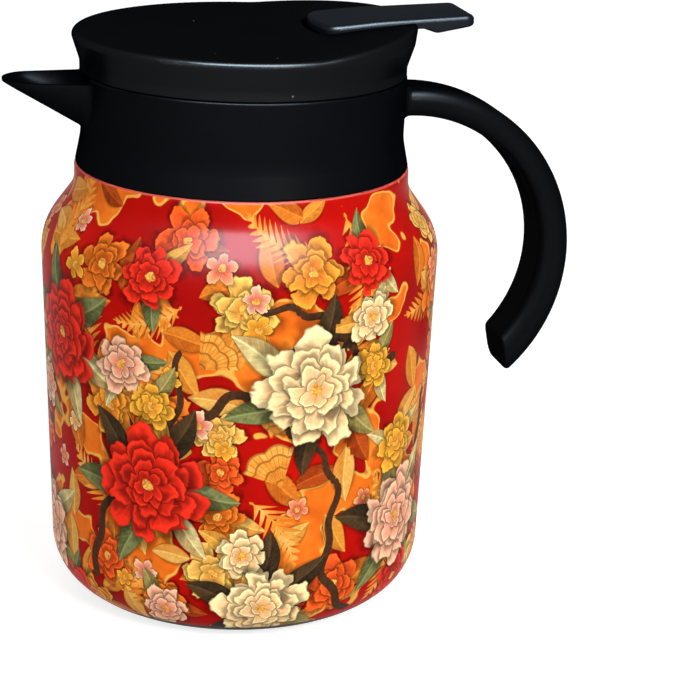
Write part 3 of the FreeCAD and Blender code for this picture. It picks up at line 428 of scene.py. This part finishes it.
def bloom_group(name, rings, eye, hearts=HEARTS, rims=RIMS):
    """A blossom of petal rings laid from the outside in, with a dotted eye of stamens.

    A ring is (petals, reach, twist, depth, point), and eye is the stamens' radius in sizes.
    """
    g, gin, gout = start_group(name, [("Place", "Vector"), ("Under", "Color")], [("Color", "Color")])
    x, y, kind = parts_of(g, gin["Place"])
    stirred = vector_of(g, x, y, calc(g, "MULTIPLY", kind, KINDS_APART))
    sway = parts_of(g, noise(g, stirred, scale=WOBBLES, detail=2.0, colour=True))
    x = calc(g, "ADD", x, calc(g, "MULTIPLY_ADD", sway[0], WOBBLE, -WOBBLE / 2))
    y = calc(g, "ADD", y, calc(g, "MULTIPLY_ADD", sway[1], WOBBLE, -WOBBLE / 2))
    distance = calc(g, "SQRT", calc(g, "ADD", calc(g, "MULTIPLY", x, x), calc(g, "MULTIPLY", y, y)))
    turn = calc(g, "MULTIPLY_ADD", calc(g, "ARCTAN2", y, x), 0.5 / math.pi, 0.5)
    heart, rim = palette(g, kind, hearts), palette(g, kind, rims)
    whole = calc(g, "ROUND", calc(g, "MULTIPLY", kind, 100.0))
    colour = gin["Under"]
    for k, (petals, reach, twist, depth, point) in enumerate(rings):
        colour = use_group(g, petal_ring, Under=colour, Distance=distance, Turn=turn, Petals=petals,
                           Reach=reach, Twist=twist, Depth=depth, Point=point, Heart=heart, Rim=rim,
                           Seed=calc(g, "MULTIPLY_ADD", whole, 7.0, float(k)))["Color"]
    dots = g.nodes.new("ShaderNodeTexVoronoi")
    dots.inputs["Scale"].default_value = STAMENS_ACROSS / eye
    join(g, dots.inputs["Vector"], vector_of(g, x, y, 0.0))
    stamens = palette(g, dots.outputs["Distance"], STAMENS, soft=True)
    join(g, gout["Color"], blend(g, span(g, distance, eye, eye * 0.82), colour, stamens))
    return g


full_group = bloom_group("full bloom", ((9.0, 1.0, 0.0, 0.30, 3.0), (8.0, 0.82, 0.4, 0.28, 2.6),
                                        (7.0, 0.63, 0.15, 0.28, 2.4), (6.0, 0.44, 0.7, 0.30, 2.2),
                                        (5.0, 0.28, 0.3, 0.30, 2.0)), eye=0.12)
side_group = bloom_group("side bloom", ((7.0, 1.0, 0.0, 0.34, 2.6), (6.0, 0.72, 0.5, 0.30, 2.4),
                                        (5.0, 0.46, 0.2, 0.30, 2.2)), eye=0.18)
star_group = bloom_group("star bloom", ((5.0, 1.0, 0.0, 0.52, 2.0),), eye=0.26)
gold_group = bloom_group("gold bloom", ((6.0, 1.0, 0.0, 0.40, 2.2), (5.0, 0.70, 0.5, 0.36, 2.0),
                                        (4.0, 0.44, 0.2, 0.34, 1.8)),
                         eye=0.16, hearts=GOLD_HEARTS, rims=GOLD_RIMS)

LEAF_DARK = ((0.064, 0.077, 0.018), (0.15, 0.12, 0.026), (0.46, 0.26, 0.077), (0.020, 0.013, 0.0064),
             (0.64, 0.22, 0.026))
LEAF_PALE = ((0.36, 0.38, 0.14), (0.64, 0.51, 0.17), (1.00, 0.90, 0.42), (0.13, 0.070, 0.026),
             (1.00, 0.59, 0.10))
BACK_DARK = ((0.51, 0.090, 0.0077), (0.64, 0.17, 0.015), (0.26, 0.026, 0.0038), (0.74, 0.23, 0.023))
BACK_PALE = ((1.00, 0.32, 0.032), (1.00, 0.47, 0.064), (0.70, 0.12, 0.013), (1.00, 0.67, 0.17))
LEAF_WAVES, LEAF_WAVE, LEAF_TAPER = 2.2, 0.07, 0.10
VEINS, VEIN_SLANT = 5.0, 1.1
HALF_TONE, VEIN_TONE, RIB_TONE = 0.16, 0.22, 0.45
LEAF_INK, LEAF_SHADE = 0.40, 0.60
LEAF_KINDS_APART = 30.0


def leaf_group(name, dark, pale, width):
    """A pointed leaf: half width falls as 1 - x squared, with a pale midrib, slant veins and an ink edge."""
    g, gin, gout = start_group(name, [("Place", "Vector"), ("Under", "Color")], [("Color", "Color")])
    x, y, kind = parts_of(g, gin["Place"])
    wave = calc(g, "SINE", calc(g, "MULTIPLY_ADD", x, LEAF_WAVES, kind))
    y = calc(g, "ADD", y, calc(g, "MULTIPLY", wave, LEAF_WAVE))
    half = calc(g, "MULTIPLY", calc(g, "MAXIMUM", calc(g, "SUBTRACT", 1.0, calc(g, "MULTIPLY", x, x)), 0.0),
                calc(g, "MULTIPLY_ADD", x, -LEAF_TAPER, width))
    aside = calc(g, "ABSOLUTE", y)
    out = calc(g, "DIVIDE", aside, calc(g, "MAXIMUM", half, 0.001))
    spread = vector_of(g, x, y, calc(g, "MULTIPLY", kind, LEAF_KINDS_APART))
    grain = noise(g, spread, scale=5.0, detail=3.0)
    slant = calc(g, "SUBTRACT", x, calc(g, "MULTIPLY", aside, VEIN_SLANT))
    vein = calc(g, "FRACT", calc(g, "MULTIPLY", slant, VEINS))
    vein = span(g, calc(g, "ABSOLUTE", calc(g, "SUBTRACT", vein, 0.5)), 0.10, 0.02)
    rib = span(g, aside, 0.045, 0.015)
    tone = calc(g, "MULTIPLY_ADD", calc(g, "SIGN", y), HALF_TONE, calc(g, "MULTIPLY_ADD", grain, 0.9, -0.10))
    tone = calc(g, "ADD", tone, calc(g, "MULTIPLY_ADD", vein, VEIN_TONE, calc(g, "MULTIPLY", rib, RIB_TONE)))
    paint = blend(g, clipped(g, tone), palette(g, kind, dark), palette(g, kind, pale))
    ink = span(g, out, 0.86, 0.98, 1.0, LEAF_INK)
    paint = dimmed(g, paint, ink)
    shade = span(g, out, 1.0, 1.35, LEAF_SHADE, 1.0)
    under = blend(g, span(g, calc(g, "ABSOLUTE", x), 1.05, 0.85), gin["Under"],
                  dimmed(g, gin["Under"], shade))
    within = calc(g, "MULTIPLY", span(g, out, 1.0, 0.94), span(g, calc(g, "ABSOLUTE", x), 1.0, 0.98))
    join(g, gout["Color"], blend(g, within, under, paint))
    return g


leaf_tree = leaf_group("leaf", LEAF_DARK, LEAF_PALE, width=0.40)
back_tree = leaf_group("back leaf", BACK_DARK, BACK_PALE, width=0.46)

# A gold fan: a sector about its stalk with a scalloped outer edge, fine ribs and inner bands.
FAN_STALK, FAN_LENGTH, FAN_EDGE = 0.75, 1.55, (0.76, 0.73)
FAN_SCALLOPS, SCALLOP_DEPTH, FAN_RIBS, FAN_BANDS = 5.0, 0.10, 20.0, 3.4
FAN_GOLDS = ((0.51, 0.12, 0.013), (1.00, 0.38, 0.045), (1.00, 0.74, 0.19))
FAN_LINES = (0.30, 0.07, 0.012, 1)
fan_tree, gin, gout = start_group("gold fan", [("Place", "Vector"), ("Under", "Color")], [("Color", "Color")])
g = fan_tree
x, y, _ = parts_of(g, gin["Place"])
x = calc(g, "ADD", x, FAN_STALK)
distance = calc(g, "SQRT", calc(g, "ADD", calc(g, "MULTIPLY", x, x), calc(g, "MULTIPLY", y, y)))
angle = calc(g, "ARCTAN2", y, x)
wave = calc(g, "ABSOLUTE", calc(g, "SINE", calc(g, "MULTIPLY", angle, FAN_SCALLOPS)))
scallop = calc(g, "MULTIPLY_ADD", wave, SCALLOP_DEPTH, 1.0 - SCALLOP_DEPTH)
out = calc(g, "DIVIDE", distance, calc(g, "MULTIPLY", scallop, FAN_LENGTH))
rib = span(g, calc(g, "ABSOLUTE", calc(g, "SINE", calc(g, "MULTIPLY", angle, FAN_RIBS))), 0.50, 0.12)
step = calc(g, "FRACT", calc(g, "MULTIPLY", out, FAN_BANDS))
band = span(g, calc(g, "ABSOLUTE", calc(g, "SUBTRACT", step, 0.5)), 0.12, 0.04)
grain = noise(g, gin["Place"], scale=4.0, detail=3.0)
gold = palette(g, calc(g, "ADD", calc(g, "MULTIPLY", grain, 0.9), calc(g, "MULTIPLY_ADD", out, 0.35, -0.20)),
               FAN_GOLDS, soft=True)
line = calc(g, "MAXIMUM", calc(g, "MULTIPLY", rib, 0.6), calc(g, "MAXIMUM", band, span(g, out, 0.92, 0.97)))
gold = blend(g, calc(g, "MULTIPLY", line, 0.75), gold, FAN_LINES)
inside_fan = calc(g, "MULTIPLY", span(g, out, 1.0, 0.975), span(g, calc(g, "ABSOLUTE", angle), *FAN_EDGE))
join(g, gout["Color"], blend(g, inside_fan, gin["Under"], gold))

# A gold frond: leaflets slant off a curved rib, each a lens that shortens towards the tip.
FROND_BOW, FROND_WIDTH, LEAFLETS, LEAFLET_SLANT, LEAFLET_WIDTH = 0.25, 0.46, 5.5, 0.85, 0.40
FROND_GOLDS = ((0.41, 0.077, 0.0077), (0.97, 0.35, 0.038), (1.00, 0.79, 0.26))
frond_tree, gin, gout = start_group("gold frond", [("Place", "Vector"), ("Under", "Color")],
                                    [("Color", "Color")])
g = frond_tree
x, y, _ = parts_of(g, gin["Place"])
y = calc(g, "ADD", y, calc(g, "MULTIPLY", calc(g, "MULTIPLY", x, x), FROND_BOW))
aside = calc(g, "ABSOLUTE", y)
bow = calc(g, "SUBTRACT", 1.0, calc(g, "MULTIPLY", x, x))
reach = calc(g, "MULTIPLY", calc(g, "MAXIMUM", bow, 0.0), FROND_WIDTH)
slant = calc(g, "SUBTRACT", x, calc(g, "MULTIPLY", aside, LEAFLET_SLANT))
slot = calc(g, "FRACT", calc(g, "MULTIPLY", slant, LEAFLETS))
slot = calc(g, "ABSOLUTE", calc(g, "SUBTRACT", slot, 0.5))
out = calc(g, "DIVIDE", aside, calc(g, "MAXIMUM", reach, 0.001))
lens = calc(g, "MULTIPLY", calc(g, "SUBTRACT", 1.0, calc(g, "MULTIPLY", out, out)), LEAFLET_WIDTH)
leaflet = calc(g, "MULTIPLY", span(g, slot, lens, calc(g, "SUBTRACT", lens, 0.06)), span(g, out, 1.0, 0.9))
leaflet = calc(g, "MULTIPLY", leaflet, span(g, calc(g, "ABSOLUTE", x), 1.0, 0.98))
rib = calc(g, "MULTIPLY", span(g, aside, 0.03, 0.012), span(g, calc(g, "ABSOLUTE", x), 0.98, 0.9))
grain = noise(g, gin["Place"], scale=3.0, detail=2.0)
gold = palette(g, calc(g, "MULTIPLY_ADD", grain, 1.1, calc(g, "MULTIPLY", out, -0.25)),
               FROND_GOLDS, soft=True)
join(g, gout["Color"], blend(g, calc(g, "MAXIMUM", leaflet, rib), gin["Under"], gold))

# A sprayed grain: a fine pebbled height and a slow patch value, both from the piece's own coordinates.
grain_tree, gin, gout = start_group(
    "sprayed grain", [("Vector", "Vector"), ("Pebble", "Float"), ("Patch", "Float")],
    [("Height", "Float"), ("Patch", "Float")])
g = grain_tree
fine = g.nodes.new("ShaderNodeTexNoise")
fine.inputs["Detail"].default_value = 2.0
join(g, fine.inputs["Vector"], gin["Vector"])
join(g, fine.inputs["Scale"], gin["Pebble"])
slow = g.nodes.new("ShaderNodeTexNoise")
slow.inputs["Detail"].default_value = 4.0
join(g, slow.inputs["Vector"], gin["Vector"])
join(g, slow.inputs["Scale"], gin["Patch"])
join(g, gout["Height"], fine.outputs[0])
join(g, gout["Patch"], slow.outputs[0])


def start_material(name):
    """A material with only its output; gives it, its tree and a Principled shader joined to the output."""
    material = bpy.data.materials.new(name)
    material.use_nodes = True
    tree = material.node_tree
    tree.nodes.clear()
    shader = tree.nodes.new("ShaderNodeBsdfPrincipled")
    join(tree, tree.nodes.new("ShaderNodeOutputMaterial").inputs["Surface"], shader.outputs[0])
    return material, tree, shader


def own_place(tree):
    """The piece's own coordinates in metres."""
    return tree.nodes.new("ShaderNodeTexCoord").outputs["Object"]


def roughen(tree, shader, value, least, spread):
    """Roughness that goes from least up by spread as the value goes from nought to one."""
    join(tree, shader.inputs["Roughness"], calc(tree, "MULTIPLY_ADD", value, spread, least))


def raised(tree, shader, height, depth):
    """Bump from a height, depth in metres."""
    node = tree.nodes.new("ShaderNodeBump")
    node.inputs["Strength"].default_value = 1.0
    node.inputs["Distance"].default_value = depth
    join(tree, node.inputs["Height"], height)
    join(tree, shader.inputs["Normal"], node.outputs[0])


def lacquer(tree, shader, weight, rough):
    """A coat whose weight falls from front to edge as (1 - facing) squared, as fine matt grain leaves it."""
    facing = tree.nodes.new("ShaderNodeLayerWeight")
    facing.inputs["Blend"].default_value = 0.5
    front = calc(tree, "SUBTRACT", 1.0, facing.outputs["Facing"])
    squared = calc(tree, "MULTIPLY", front, front)
    join(tree, shader.inputs["Coat Weight"], calc(tree, "MULTIPLY", squared, weight))
    shader.inputs["Coat Roughness"].default_value = rough


def attribute(tree, name, output):
    """A value that the mesh carries."""
    node = tree.nodes.new("ShaderNodeAttribute")
    node.attribute_name = name
    return node.outputs[output]


GROUND_REDS = ((0.090, 0.0005, 0.0004), (0.36, 0.0019, 0.0010), (0.59, 0.0051, 0.0015), (0.79, 0.038, 0.0038))
CLOUD_AMBERS = ((0.59, 0.051, 0.0038), (0.95, 0.19, 0.013), (1.00, 0.44, 0.051))
CLOUD_LINE = (1.00, 0.59, 0.10, 1)
BARK_BROWNS = ((0.02, 0.008, 0.004), (0.12, 0.05, 0.02))
# The foot colour below is painted shade, near black on the wall's lowest rounding.
# The lip colour below is a painted highlight, a pale rose on the neck's rounded top edge.
FOOT_PAINTED_SHADE, LIP_PAINTED_HIGHLIGHT = (0.02, 0.006, 0.005, 1), (0.80, 0.13, 0.09, 1)
FOOT_EDGE, FOOT_DARK = 0.0060, 0.0050
LIP_EDGE, LIP_PALE = 0.1389, 0.1392
print_material, t, shader = start_material("lacquered_print")
place = own_place(t)
ground = palette(t, noise(t, place, scale=26.0, detail=5.0), GROUND_REDS, soft=True)
cloud = noise(t, place, scale=40.0, detail=2.5)
amber = palette(t, noise(t, place, scale=120.0, detail=5.0), CLOUD_AMBERS, soft=True)
colour = blend(t, span(t, cloud, 0.545, 0.565), ground, amber)
contour = span(t, calc(t, "ABSOLUTE", calc(t, "SUBTRACT", cloud, 0.555)), 0.012, 0.004)
colour = blend(t, calc(t, "MULTIPLY", contour, 0.8), colour, CLOUD_LINE)
for name, tree in (("back_leaf", back_tree), ("frond", frond_tree), ("fan", fan_tree),
                   ("gold_bloom", gold_group)):
    colour = use_group(t, tree, Place=attribute(t, name, "Vector"), Under=colour)[0]
twig = attribute(t, "twig", "Fac")
bark = palette(t, noise(t, place, scale=900.0, detail=2.0), BARK_BROWNS, soft=True)
colour = blend(t, span(t, twig, 1.0, 0.85), colour, bark)
for name, tree in (("star_bloom", star_group), ("leaf", leaf_tree), ("side_bloom", side_group),
                   ("full_bloom", full_group)):
    colour = use_group(t, tree, Place=attribute(t, name, "Vector"), Under=colour)[0]
height = parts_of(t, place)[2]
# Painted shade: the wall turns near black from 6 mm down to 5 mm above the floor and stays so below.
colour = blend(t, span(t, height, FOOT_EDGE, FOOT_DARK), colour, FOOT_PAINTED_SHADE)
# Painted highlight: the neck's top edge turns pale rose from 138.9 mm up to 139.2 mm and stays so above.
colour = blend(t, span(t, height, LIP_EDGE, LIP_PALE), colour, LIP_PAINTED_HIGHLIGHT)
join(t, shader.inputs["Base Color"], colour)
grain = use_group(t, grain_tree, Vector=place, Pebble=2600.0, Patch=60.0)
roughen(t, shader, grain["Patch"], least=0.30, spread=0.14)
raised(t, shader, grain["Height"], depth=0.00004)
shader.inputs["Specular IOR Level"].default_value = 0.015
lacquer(t, shader, weight=0.07, rough=0.30)
printed_body.data.materials.append(print_material)

# Inner flask, base plate and getter
# The inner flask is drawn stainless steel, electropolished inside and welded to the outer wall at the lip. A
# pressed steel disc closes the foot, and a small getter capsule sits in the vacuum under the flask.


def dress(material, *names):
    """Puts one material on CAD nodes."""
    for name in names:
        nodes[name].data.materials.clear()
        nodes[name].data.materials.append(material)


STEEL_GREYS = ((0.46, 0.45, 0.44), (0.66, 0.65, 0.63))
LINES_ACROSS, LINES_UP = 30.0, 2400.0
steel, t, shader = start_material("drawn_steel")
place = own_place(t)
x, y, z = parts_of(t, place)
stretched = vector_of(t, calc(t, "MULTIPLY", x, LINES_ACROSS), calc(t, "MULTIPLY", y, LINES_ACROSS),
                      calc(t, "MULTIPLY", z, LINES_UP))
lines = noise(t, stretched, scale=1.0, detail=3.0)
join(t, shader.inputs["Base Color"], palette(t, lines, STEEL_GREYS, soft=True))
roughen(t, shader, lines, least=0.18, spread=0.16)
raised(t, shader, lines, depth=0.000004)
shader.inputs["Metallic"].default_value = 1.0
dress(steel, "inner_liner", "base_plate", "getter")

# Base pad
# A soft black disc of matt rubber, pressed into the foot opening under the steel base plate, so the jug
# stands quietly and does not slide.
PAD_BLACKS = ((0.016, 0.016, 0.017), (0.04, 0.039, 0.038))
soft_black, t, shader = start_material("soft_pad")
place = own_place(t)
grain = use_group(t, grain_tree, Vector=place, Pebble=1500.0, Patch=40.0)
join(t, shader.inputs["Base Color"], palette(t, grain["Patch"], PAD_BLACKS, soft=True))
roughen(t, shader, grain["Height"], least=0.70, spread=0.12)
raised(t, shader, grain["Height"], depth=0.00006)
shader.inputs["Specular IOR Level"].default_value = 0.3
dress(soft_black, "base_pad")

# Collar and lid shell
# Black polypropylene mouldings with a fine spark-eroded grain. The collar snaps over the flask's neck and
# carries the scoop spout; the lid shell snaps over its deck. Handling leaves a faint sheen and a little dust
# on top.
SPECKS_PER_METRE = 420.0
dust_tree, gin, gout = start_group("settled dust", [("Vector", "Vector"), ("Amount", "Float")],
                                   [("Mask", "Float")])
g = dust_tree
specks = g.nodes.new("ShaderNodeTexVoronoi")
specks.inputs["Scale"].default_value = SPECKS_PER_METRE
join(g, specks.inputs["Vector"], gin["Vector"])
rare = g.nodes.new("ShaderNodeTexWhiteNoise")
join(g, rare.inputs["Vector"], specks.outputs["Position"])
chosen = calc(g, "LESS_THAN", rare.outputs["Value"], gin["Amount"])
join(g, gout["Mask"], calc(g, "MULTIPLY", chosen, span(g, specks.outputs["Distance"], 0.16, 0.08)))

BLACKS = ((0.0008, 0.0011, 0.0018), (0.0020, 0.0026, 0.0038))
DUST_GREY = (0.35, 0.34, 0.32, 1)


def black_moulding(name, pebble, depth, rough, shine, edge, dust=0.0, blacks=BLACKS):
    """Black plastic with its own grain, roughness, sheen seen straight on and at the edge, and dust."""
    material, t, shader = start_material(name)
    place = own_place(t)
    grain = use_group(t, grain_tree, Vector=place, Pebble=pebble, Patch=35.0)
    colour = palette(t, grain["Patch"], blacks, soft=True)
    if dust:
        specks = use_group(t, dust_tree, Vector=place, Amount=dust)["Mask"]
        colour = blend(t, calc(t, "MULTIPLY", specks, 0.5), colour, DUST_GREY)
    join(t, shader.inputs["Base Color"], colour)
    roughen(t, shader, grain["Patch"], least=rough, spread=0.16)
    raised(t, shader, grain["Height"], depth)
    shader.inputs["Specular IOR Level"].default_value = edge
    lacquer(t, shader, shine, rough)
    return material


dress(black_moulding("grained_black", pebble=2200.0, depth=0.00005, rough=0.36, shine=0.08, edge=0.0),
      "collar")
dress(black_moulding("dusty_black", pebble=2200.0, depth=0.00003, rough=0.30, shine=0.24, edge=0.0,
                     dust=0.012), "lid_cover")

# Handle
# Two black half shells, a back and a finger-side cover, welded along their parting and keyed into the
# collar. They are polished a little smoother than the collar and take a satin sheen.
dress(black_moulding("satin_black", pebble=3200.0, depth=0.00002, rough=0.32, shine=0.10, edge=0.0),
      "handle", "handle_cover")

# Thumb lever
# One satin black moulding that rocks on a steel pin in the lid's channel. Its end swells down past the rim
# for the thumb. Its black is painted a little paler and bluer than the lid's, as a painted bluish sheen.
BLUE_SHEEN_BLACKS = ((0.0020, 0.0040, 0.0068), (0.0040, 0.0070, 0.0115))
dress(black_moulding("blue_sheen_black", pebble=3200.0, depth=0.00002, rough=0.34, shine=0.26, edge=0.001,
                     blacks=BLUE_SHEEN_BLACKS), "thumb_lever")

# Deck, plug cup, cap and valve head
# Plain black polypropylene mouldings inside the lid, seen only when the lid is off. The deck clips into the
# lid shell, and the cup is screwed under the deck.
dress(black_moulding("plain_black", pebble=900.0, depth=0.00002, rough=0.38, shine=0.25, edge=0.04),
      "lid_deck", "lid_plug", "stem_cap", "valve_head")

# Seals
# Milky food-grade silicone rings, pressed into their grooves: under the collar, in the lid, round the plug,
# on the stem and under the valve.
MILK_WHITES = ((0.62, 0.62, 0.60), (0.80, 0.80, 0.78))
silicone, t, shader = start_material("milky_silicone")
place = own_place(t)
grain = use_group(t, grain_tree, Vector=place, Pebble=1200.0, Patch=70.0)
join(t, shader.inputs["Base Color"], palette(t, grain["Patch"], MILK_WHITES, soft=True))
roughen(t, shader, grain["Patch"], least=0.42, spread=0.12)
raised(t, shader, grain["Height"], depth=0.00002)
shader.inputs["Subsurface Weight"].default_value = 0.15
shader.inputs["Subsurface Radius"].default_value = (0.002, 0.002, 0.002)
dress(silicone, "collar_seal", "lid_gasket", "plug_seal", "stem_wiper", "valve_seal")

# Pin, stem and screws
# Ground stainless pin and stem, and three pan-head screws that hold the cup under the deck. The pin is
# pressed into the walls of the lever's channel.
BRIGHT_GREYS = ((0.50, 0.50, 0.49), (0.68, 0.67, 0.66))
ground_steel, t, shader = start_material("ground_steel")
place = own_place(t)
grain = use_group(t, grain_tree, Vector=place, Pebble=5000.0, Patch=240.0)
join(t, shader.inputs["Base Color"], palette(t, grain["Patch"], BRIGHT_GREYS, soft=True))
roughen(t, shader, grain["Height"], least=0.20, spread=0.14)
raised(t, shader, grain["Height"], depth=0.000003)
shader.inputs["Metallic"].default_value = 1.0
dress(ground_steel, "lever_pin", "valve_stem", "lid_screws")

# Valve spring
# An open compression spring wound from bright drawn wire. It stands on the valve head and bears against the
# deck; the real spring shortens as the valve rises, but this coil is built once at its rest length.
WIRE_RADIUS, COIL_RADIUS, TURNS = 0.45, 5.1, 6
STEPS_PER_TURN, WIRE_SIDES = 28, 12


def wound_wire(name, low, high):
    """A round wire on a helix.

    Its centre is (R cos t, R sin t, rising evenly). Each ring of the wire lies across the path, spanned by
    the way to the axis and by the way that stands square on that and on the path.
    """
    t = 2 * np.pi * TURNS * np.linspace(0, 1, TURNS * STEPS_PER_TURN + 1)[:, None]
    rise = (high - low) / t[-1, 0]
    centre = np.hstack([COIL_RADIUS * np.cos(t), COIL_RADIUS * np.sin(t), low + rise * t])
    ahead = np.hstack([-COIL_RADIUS * np.sin(t), COIL_RADIUS * np.cos(t), rise + 0 * t])
    ahead /= np.linalg.norm(ahead, axis=1)[:, None]
    inward = np.hstack([-np.cos(t), -np.sin(t), 0 * t])
    square = np.cross(ahead, inward)
    way = 2 * np.pi * np.arange(WIRE_SIDES) / WIRE_SIDES
    ring = inward[:, None] * np.cos(way)[:, None] + square[:, None] * np.sin(way)[:, None]
    xyz = (centre[:, None] + WIRE_RADIUS * ring).reshape(-1, 3) * MM
    i, j = np.meshgrid(np.arange(len(t) - 1), np.arange(WIRE_SIDES), indexing="ij")
    q = (j + 1) % WIRE_SIDES
    here, there = i * WIRE_SIDES, (i + 1) * WIRE_SIDES
    quads = np.stack([here + j, here + q, there + q, there + j], -1)
    last = (len(t) - 1) * WIRE_SIDES
    ends = [list(range(WIRE_SIDES))[::-1], list(range(last, last + WIRE_SIDES))]
    mesh = bpy.data.meshes.new(name)
    mesh.from_pydata(xyz.tolist(), [], quads.reshape(-1, 4).tolist() + ends)
    mesh.polygons.foreach_set("use_smooth", np.arange(len(mesh.polygons)) < quads.size // 4)
    mesh.update()
    return mesh


spring_low, spring_high = (corner[2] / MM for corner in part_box("valve_spring"))
coil_mesh = wound_wire("coil_spring", spring_low + WIRE_RADIUS, spring_high - WIRE_RADIUS)
coil = bpy.data.objects.new("coil_spring", coil_mesh)
bpy.context.scene.collection.objects.link(coil)
coil.data.materials.append(ground_steel)
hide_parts("valve_spring")
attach(coil, "lid")
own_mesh(coil)

# Floor, light and camera
# A plain white floor under soft studio light; the camera stands where the photograph was taken from. The
# sheen lamp shows only as gloss on the black plastic and does not light colours.
FLOOR_CORNERS = ((-4, -4), (4, -4), (4, 6), (-4, 6))
FLOOR_DROP = 0.0002
FLOOR_GREY, FLOOR_GLOW = 0.60, 0.76
SKY_LIGHT, SKY_SEEN = 0.42, 1.0


def seen_straight(tree):
    """One for camera, glossy and transmission rays, which show the background; nought for diffuse light."""
    rays = tree.nodes.new("ShaderNodeLightPath").outputs
    some = calc(tree, "MAXIMUM", rays["Is Camera Ray"], rays["Is Glossy Ray"])
    return calc(tree, "MAXIMUM", some, rays["Is Transmission Ray"])


floor_mesh = bpy.data.meshes.new("floor")
floor_mesh.from_pydata([(x, y, -FLOOR_DROP) for x, y in FLOOR_CORNERS], [], [(0, 1, 2, 3)])
floor = bpy.data.objects.new("floor", floor_mesh)
bpy.context.scene.collection.objects.link(floor)
floor_white = bpy.data.materials.new("floor_white")
floor_white.use_nodes = True
t = floor_white.node_tree
t.nodes.clear()
paint = t.nodes.new("ShaderNodeBsdfDiffuse")
paint.inputs["Color"].default_value = (FLOOR_GREY, FLOOR_GREY, FLOOR_GREY, 1)
glow = t.nodes.new("ShaderNodeEmission")
join(t, glow.inputs["Strength"], calc(t, "MULTIPLY", seen_straight(t), FLOOR_GLOW))
both = t.nodes.new("ShaderNodeAddShader")
join(t, both.inputs[0], paint.outputs[0])
join(t, both.inputs[1], glow.outputs[0])
join(t, t.nodes.new("ShaderNodeOutputMaterial").inputs["Surface"], both.outputs[0])
floor_mesh.materials.append(floor_white)

world = bpy.data.worlds.new("studio")
bpy.context.scene.world = world
world.use_nodes = True
t = world.node_tree
t.nodes.clear()
sky = t.nodes.new("ShaderNodeBackground")
sky.inputs["Color"].default_value = (1, 1, 1, 1)
strength = calc(t, "MULTIPLY_ADD", seen_straight(t), SKY_SEEN - SKY_LIGHT, SKY_LIGHT)
join(t, sky.inputs["Strength"], strength)
join(t, t.nodes.new("ShaderNodeOutputWorld").inputs["Surface"], sky.outputs[0])


def softbox(name, place, target, width, height, power, colour):
    """A rectangular lamp at place that faces target."""
    lamp = bpy.data.lights.new(name, "AREA")
    lamp.shape, lamp.size, lamp.size_y, lamp.energy, lamp.color = "RECTANGLE", width, height, power, colour
    holder = bpy.data.objects.new(name, lamp)
    bpy.context.scene.collection.objects.link(holder)
    z = np.array(place, float) - np.array(target, float)
    z /= np.linalg.norm(z)
    x = np.cross((0, 0, 1), z)
    x /= np.linalg.norm(x)
    matrix = np.eye(4)
    matrix[:3, :4] = np.stack([x, np.cross(z, x), z, np.array(place, float)], 1)
    holder.matrix_world = Matrix(matrix.tolist())
    return holder


softbox("key", place=(0.26, -1.06, 0.66), target=(0, 0, 0.10), width=0.35, height=0.25, power=9.5,
        colour=(1.0, 0.98, 0.95))
softbox("fill", place=(-0.9, -0.9, 0.8), target=(0, 0, 0.10), width=0.4, height=0.4, power=2.6,
        colour=(0.97, 0.98, 1.0))
sheen = softbox("sheen", place=(-0.04, -0.42, 0.92), target=(0, -0.03, 0.17), width=0.8, height=0.50,
                power=140.0, colour=(0.66, 0.85, 1.0))
sheen.visible_diffuse = False

DISTANCE, EYE_HEIGHT = 0.681257, 0.304156
SIDE_TURN, HEADING, PITCH, ROLL = (math.radians(a) for a in (12.0, 14.717, 18.297, 1.957))
SENSOR, PHOTO_HEIGHT, FOCAL_PIXELS = 36.0, 697.0, 2246.74
LENS = FOCAL_PIXELS * SENSOR / PHOTO_HEIGHT
NEAR, FAR = 0.05, 50.0
camera_data = bpy.data.cameras.new("camera")
camera_data.sensor_width = SENSOR
camera_data.lens = LENS
camera_data.clip_start, camera_data.clip_end = NEAR, FAR
camera = bpy.data.objects.new("camera", camera_data)
bpy.context.scene.collection.objects.link(camera)
ahead = np.array([math.sin(HEADING) * math.cos(PITCH), math.cos(HEADING) * math.cos(PITCH), -math.sin(PITCH)])
right = np.array([math.cos(HEADING), -math.sin(HEADING), 0.0])
upward = np.cross(right, ahead)
matrix = np.eye(4)
matrix[:3, 0] = math.cos(ROLL) * right + math.sin(ROLL) * upward
matrix[:3, 1] = math.cos(ROLL) * upward - math.sin(ROLL) * right
matrix[:3, 2] = -ahead
matrix[:3, 3] = (-DISTANCE * math.sin(SIDE_TURN), -DISTANCE * math.cos(SIDE_TURN), EYE_HEIGHT)
camera.matrix_world = Matrix(matrix.tolist())
bpy.context.scene.camera = camera
bpy.context.scene.view_settings.view_transform = "Standard"
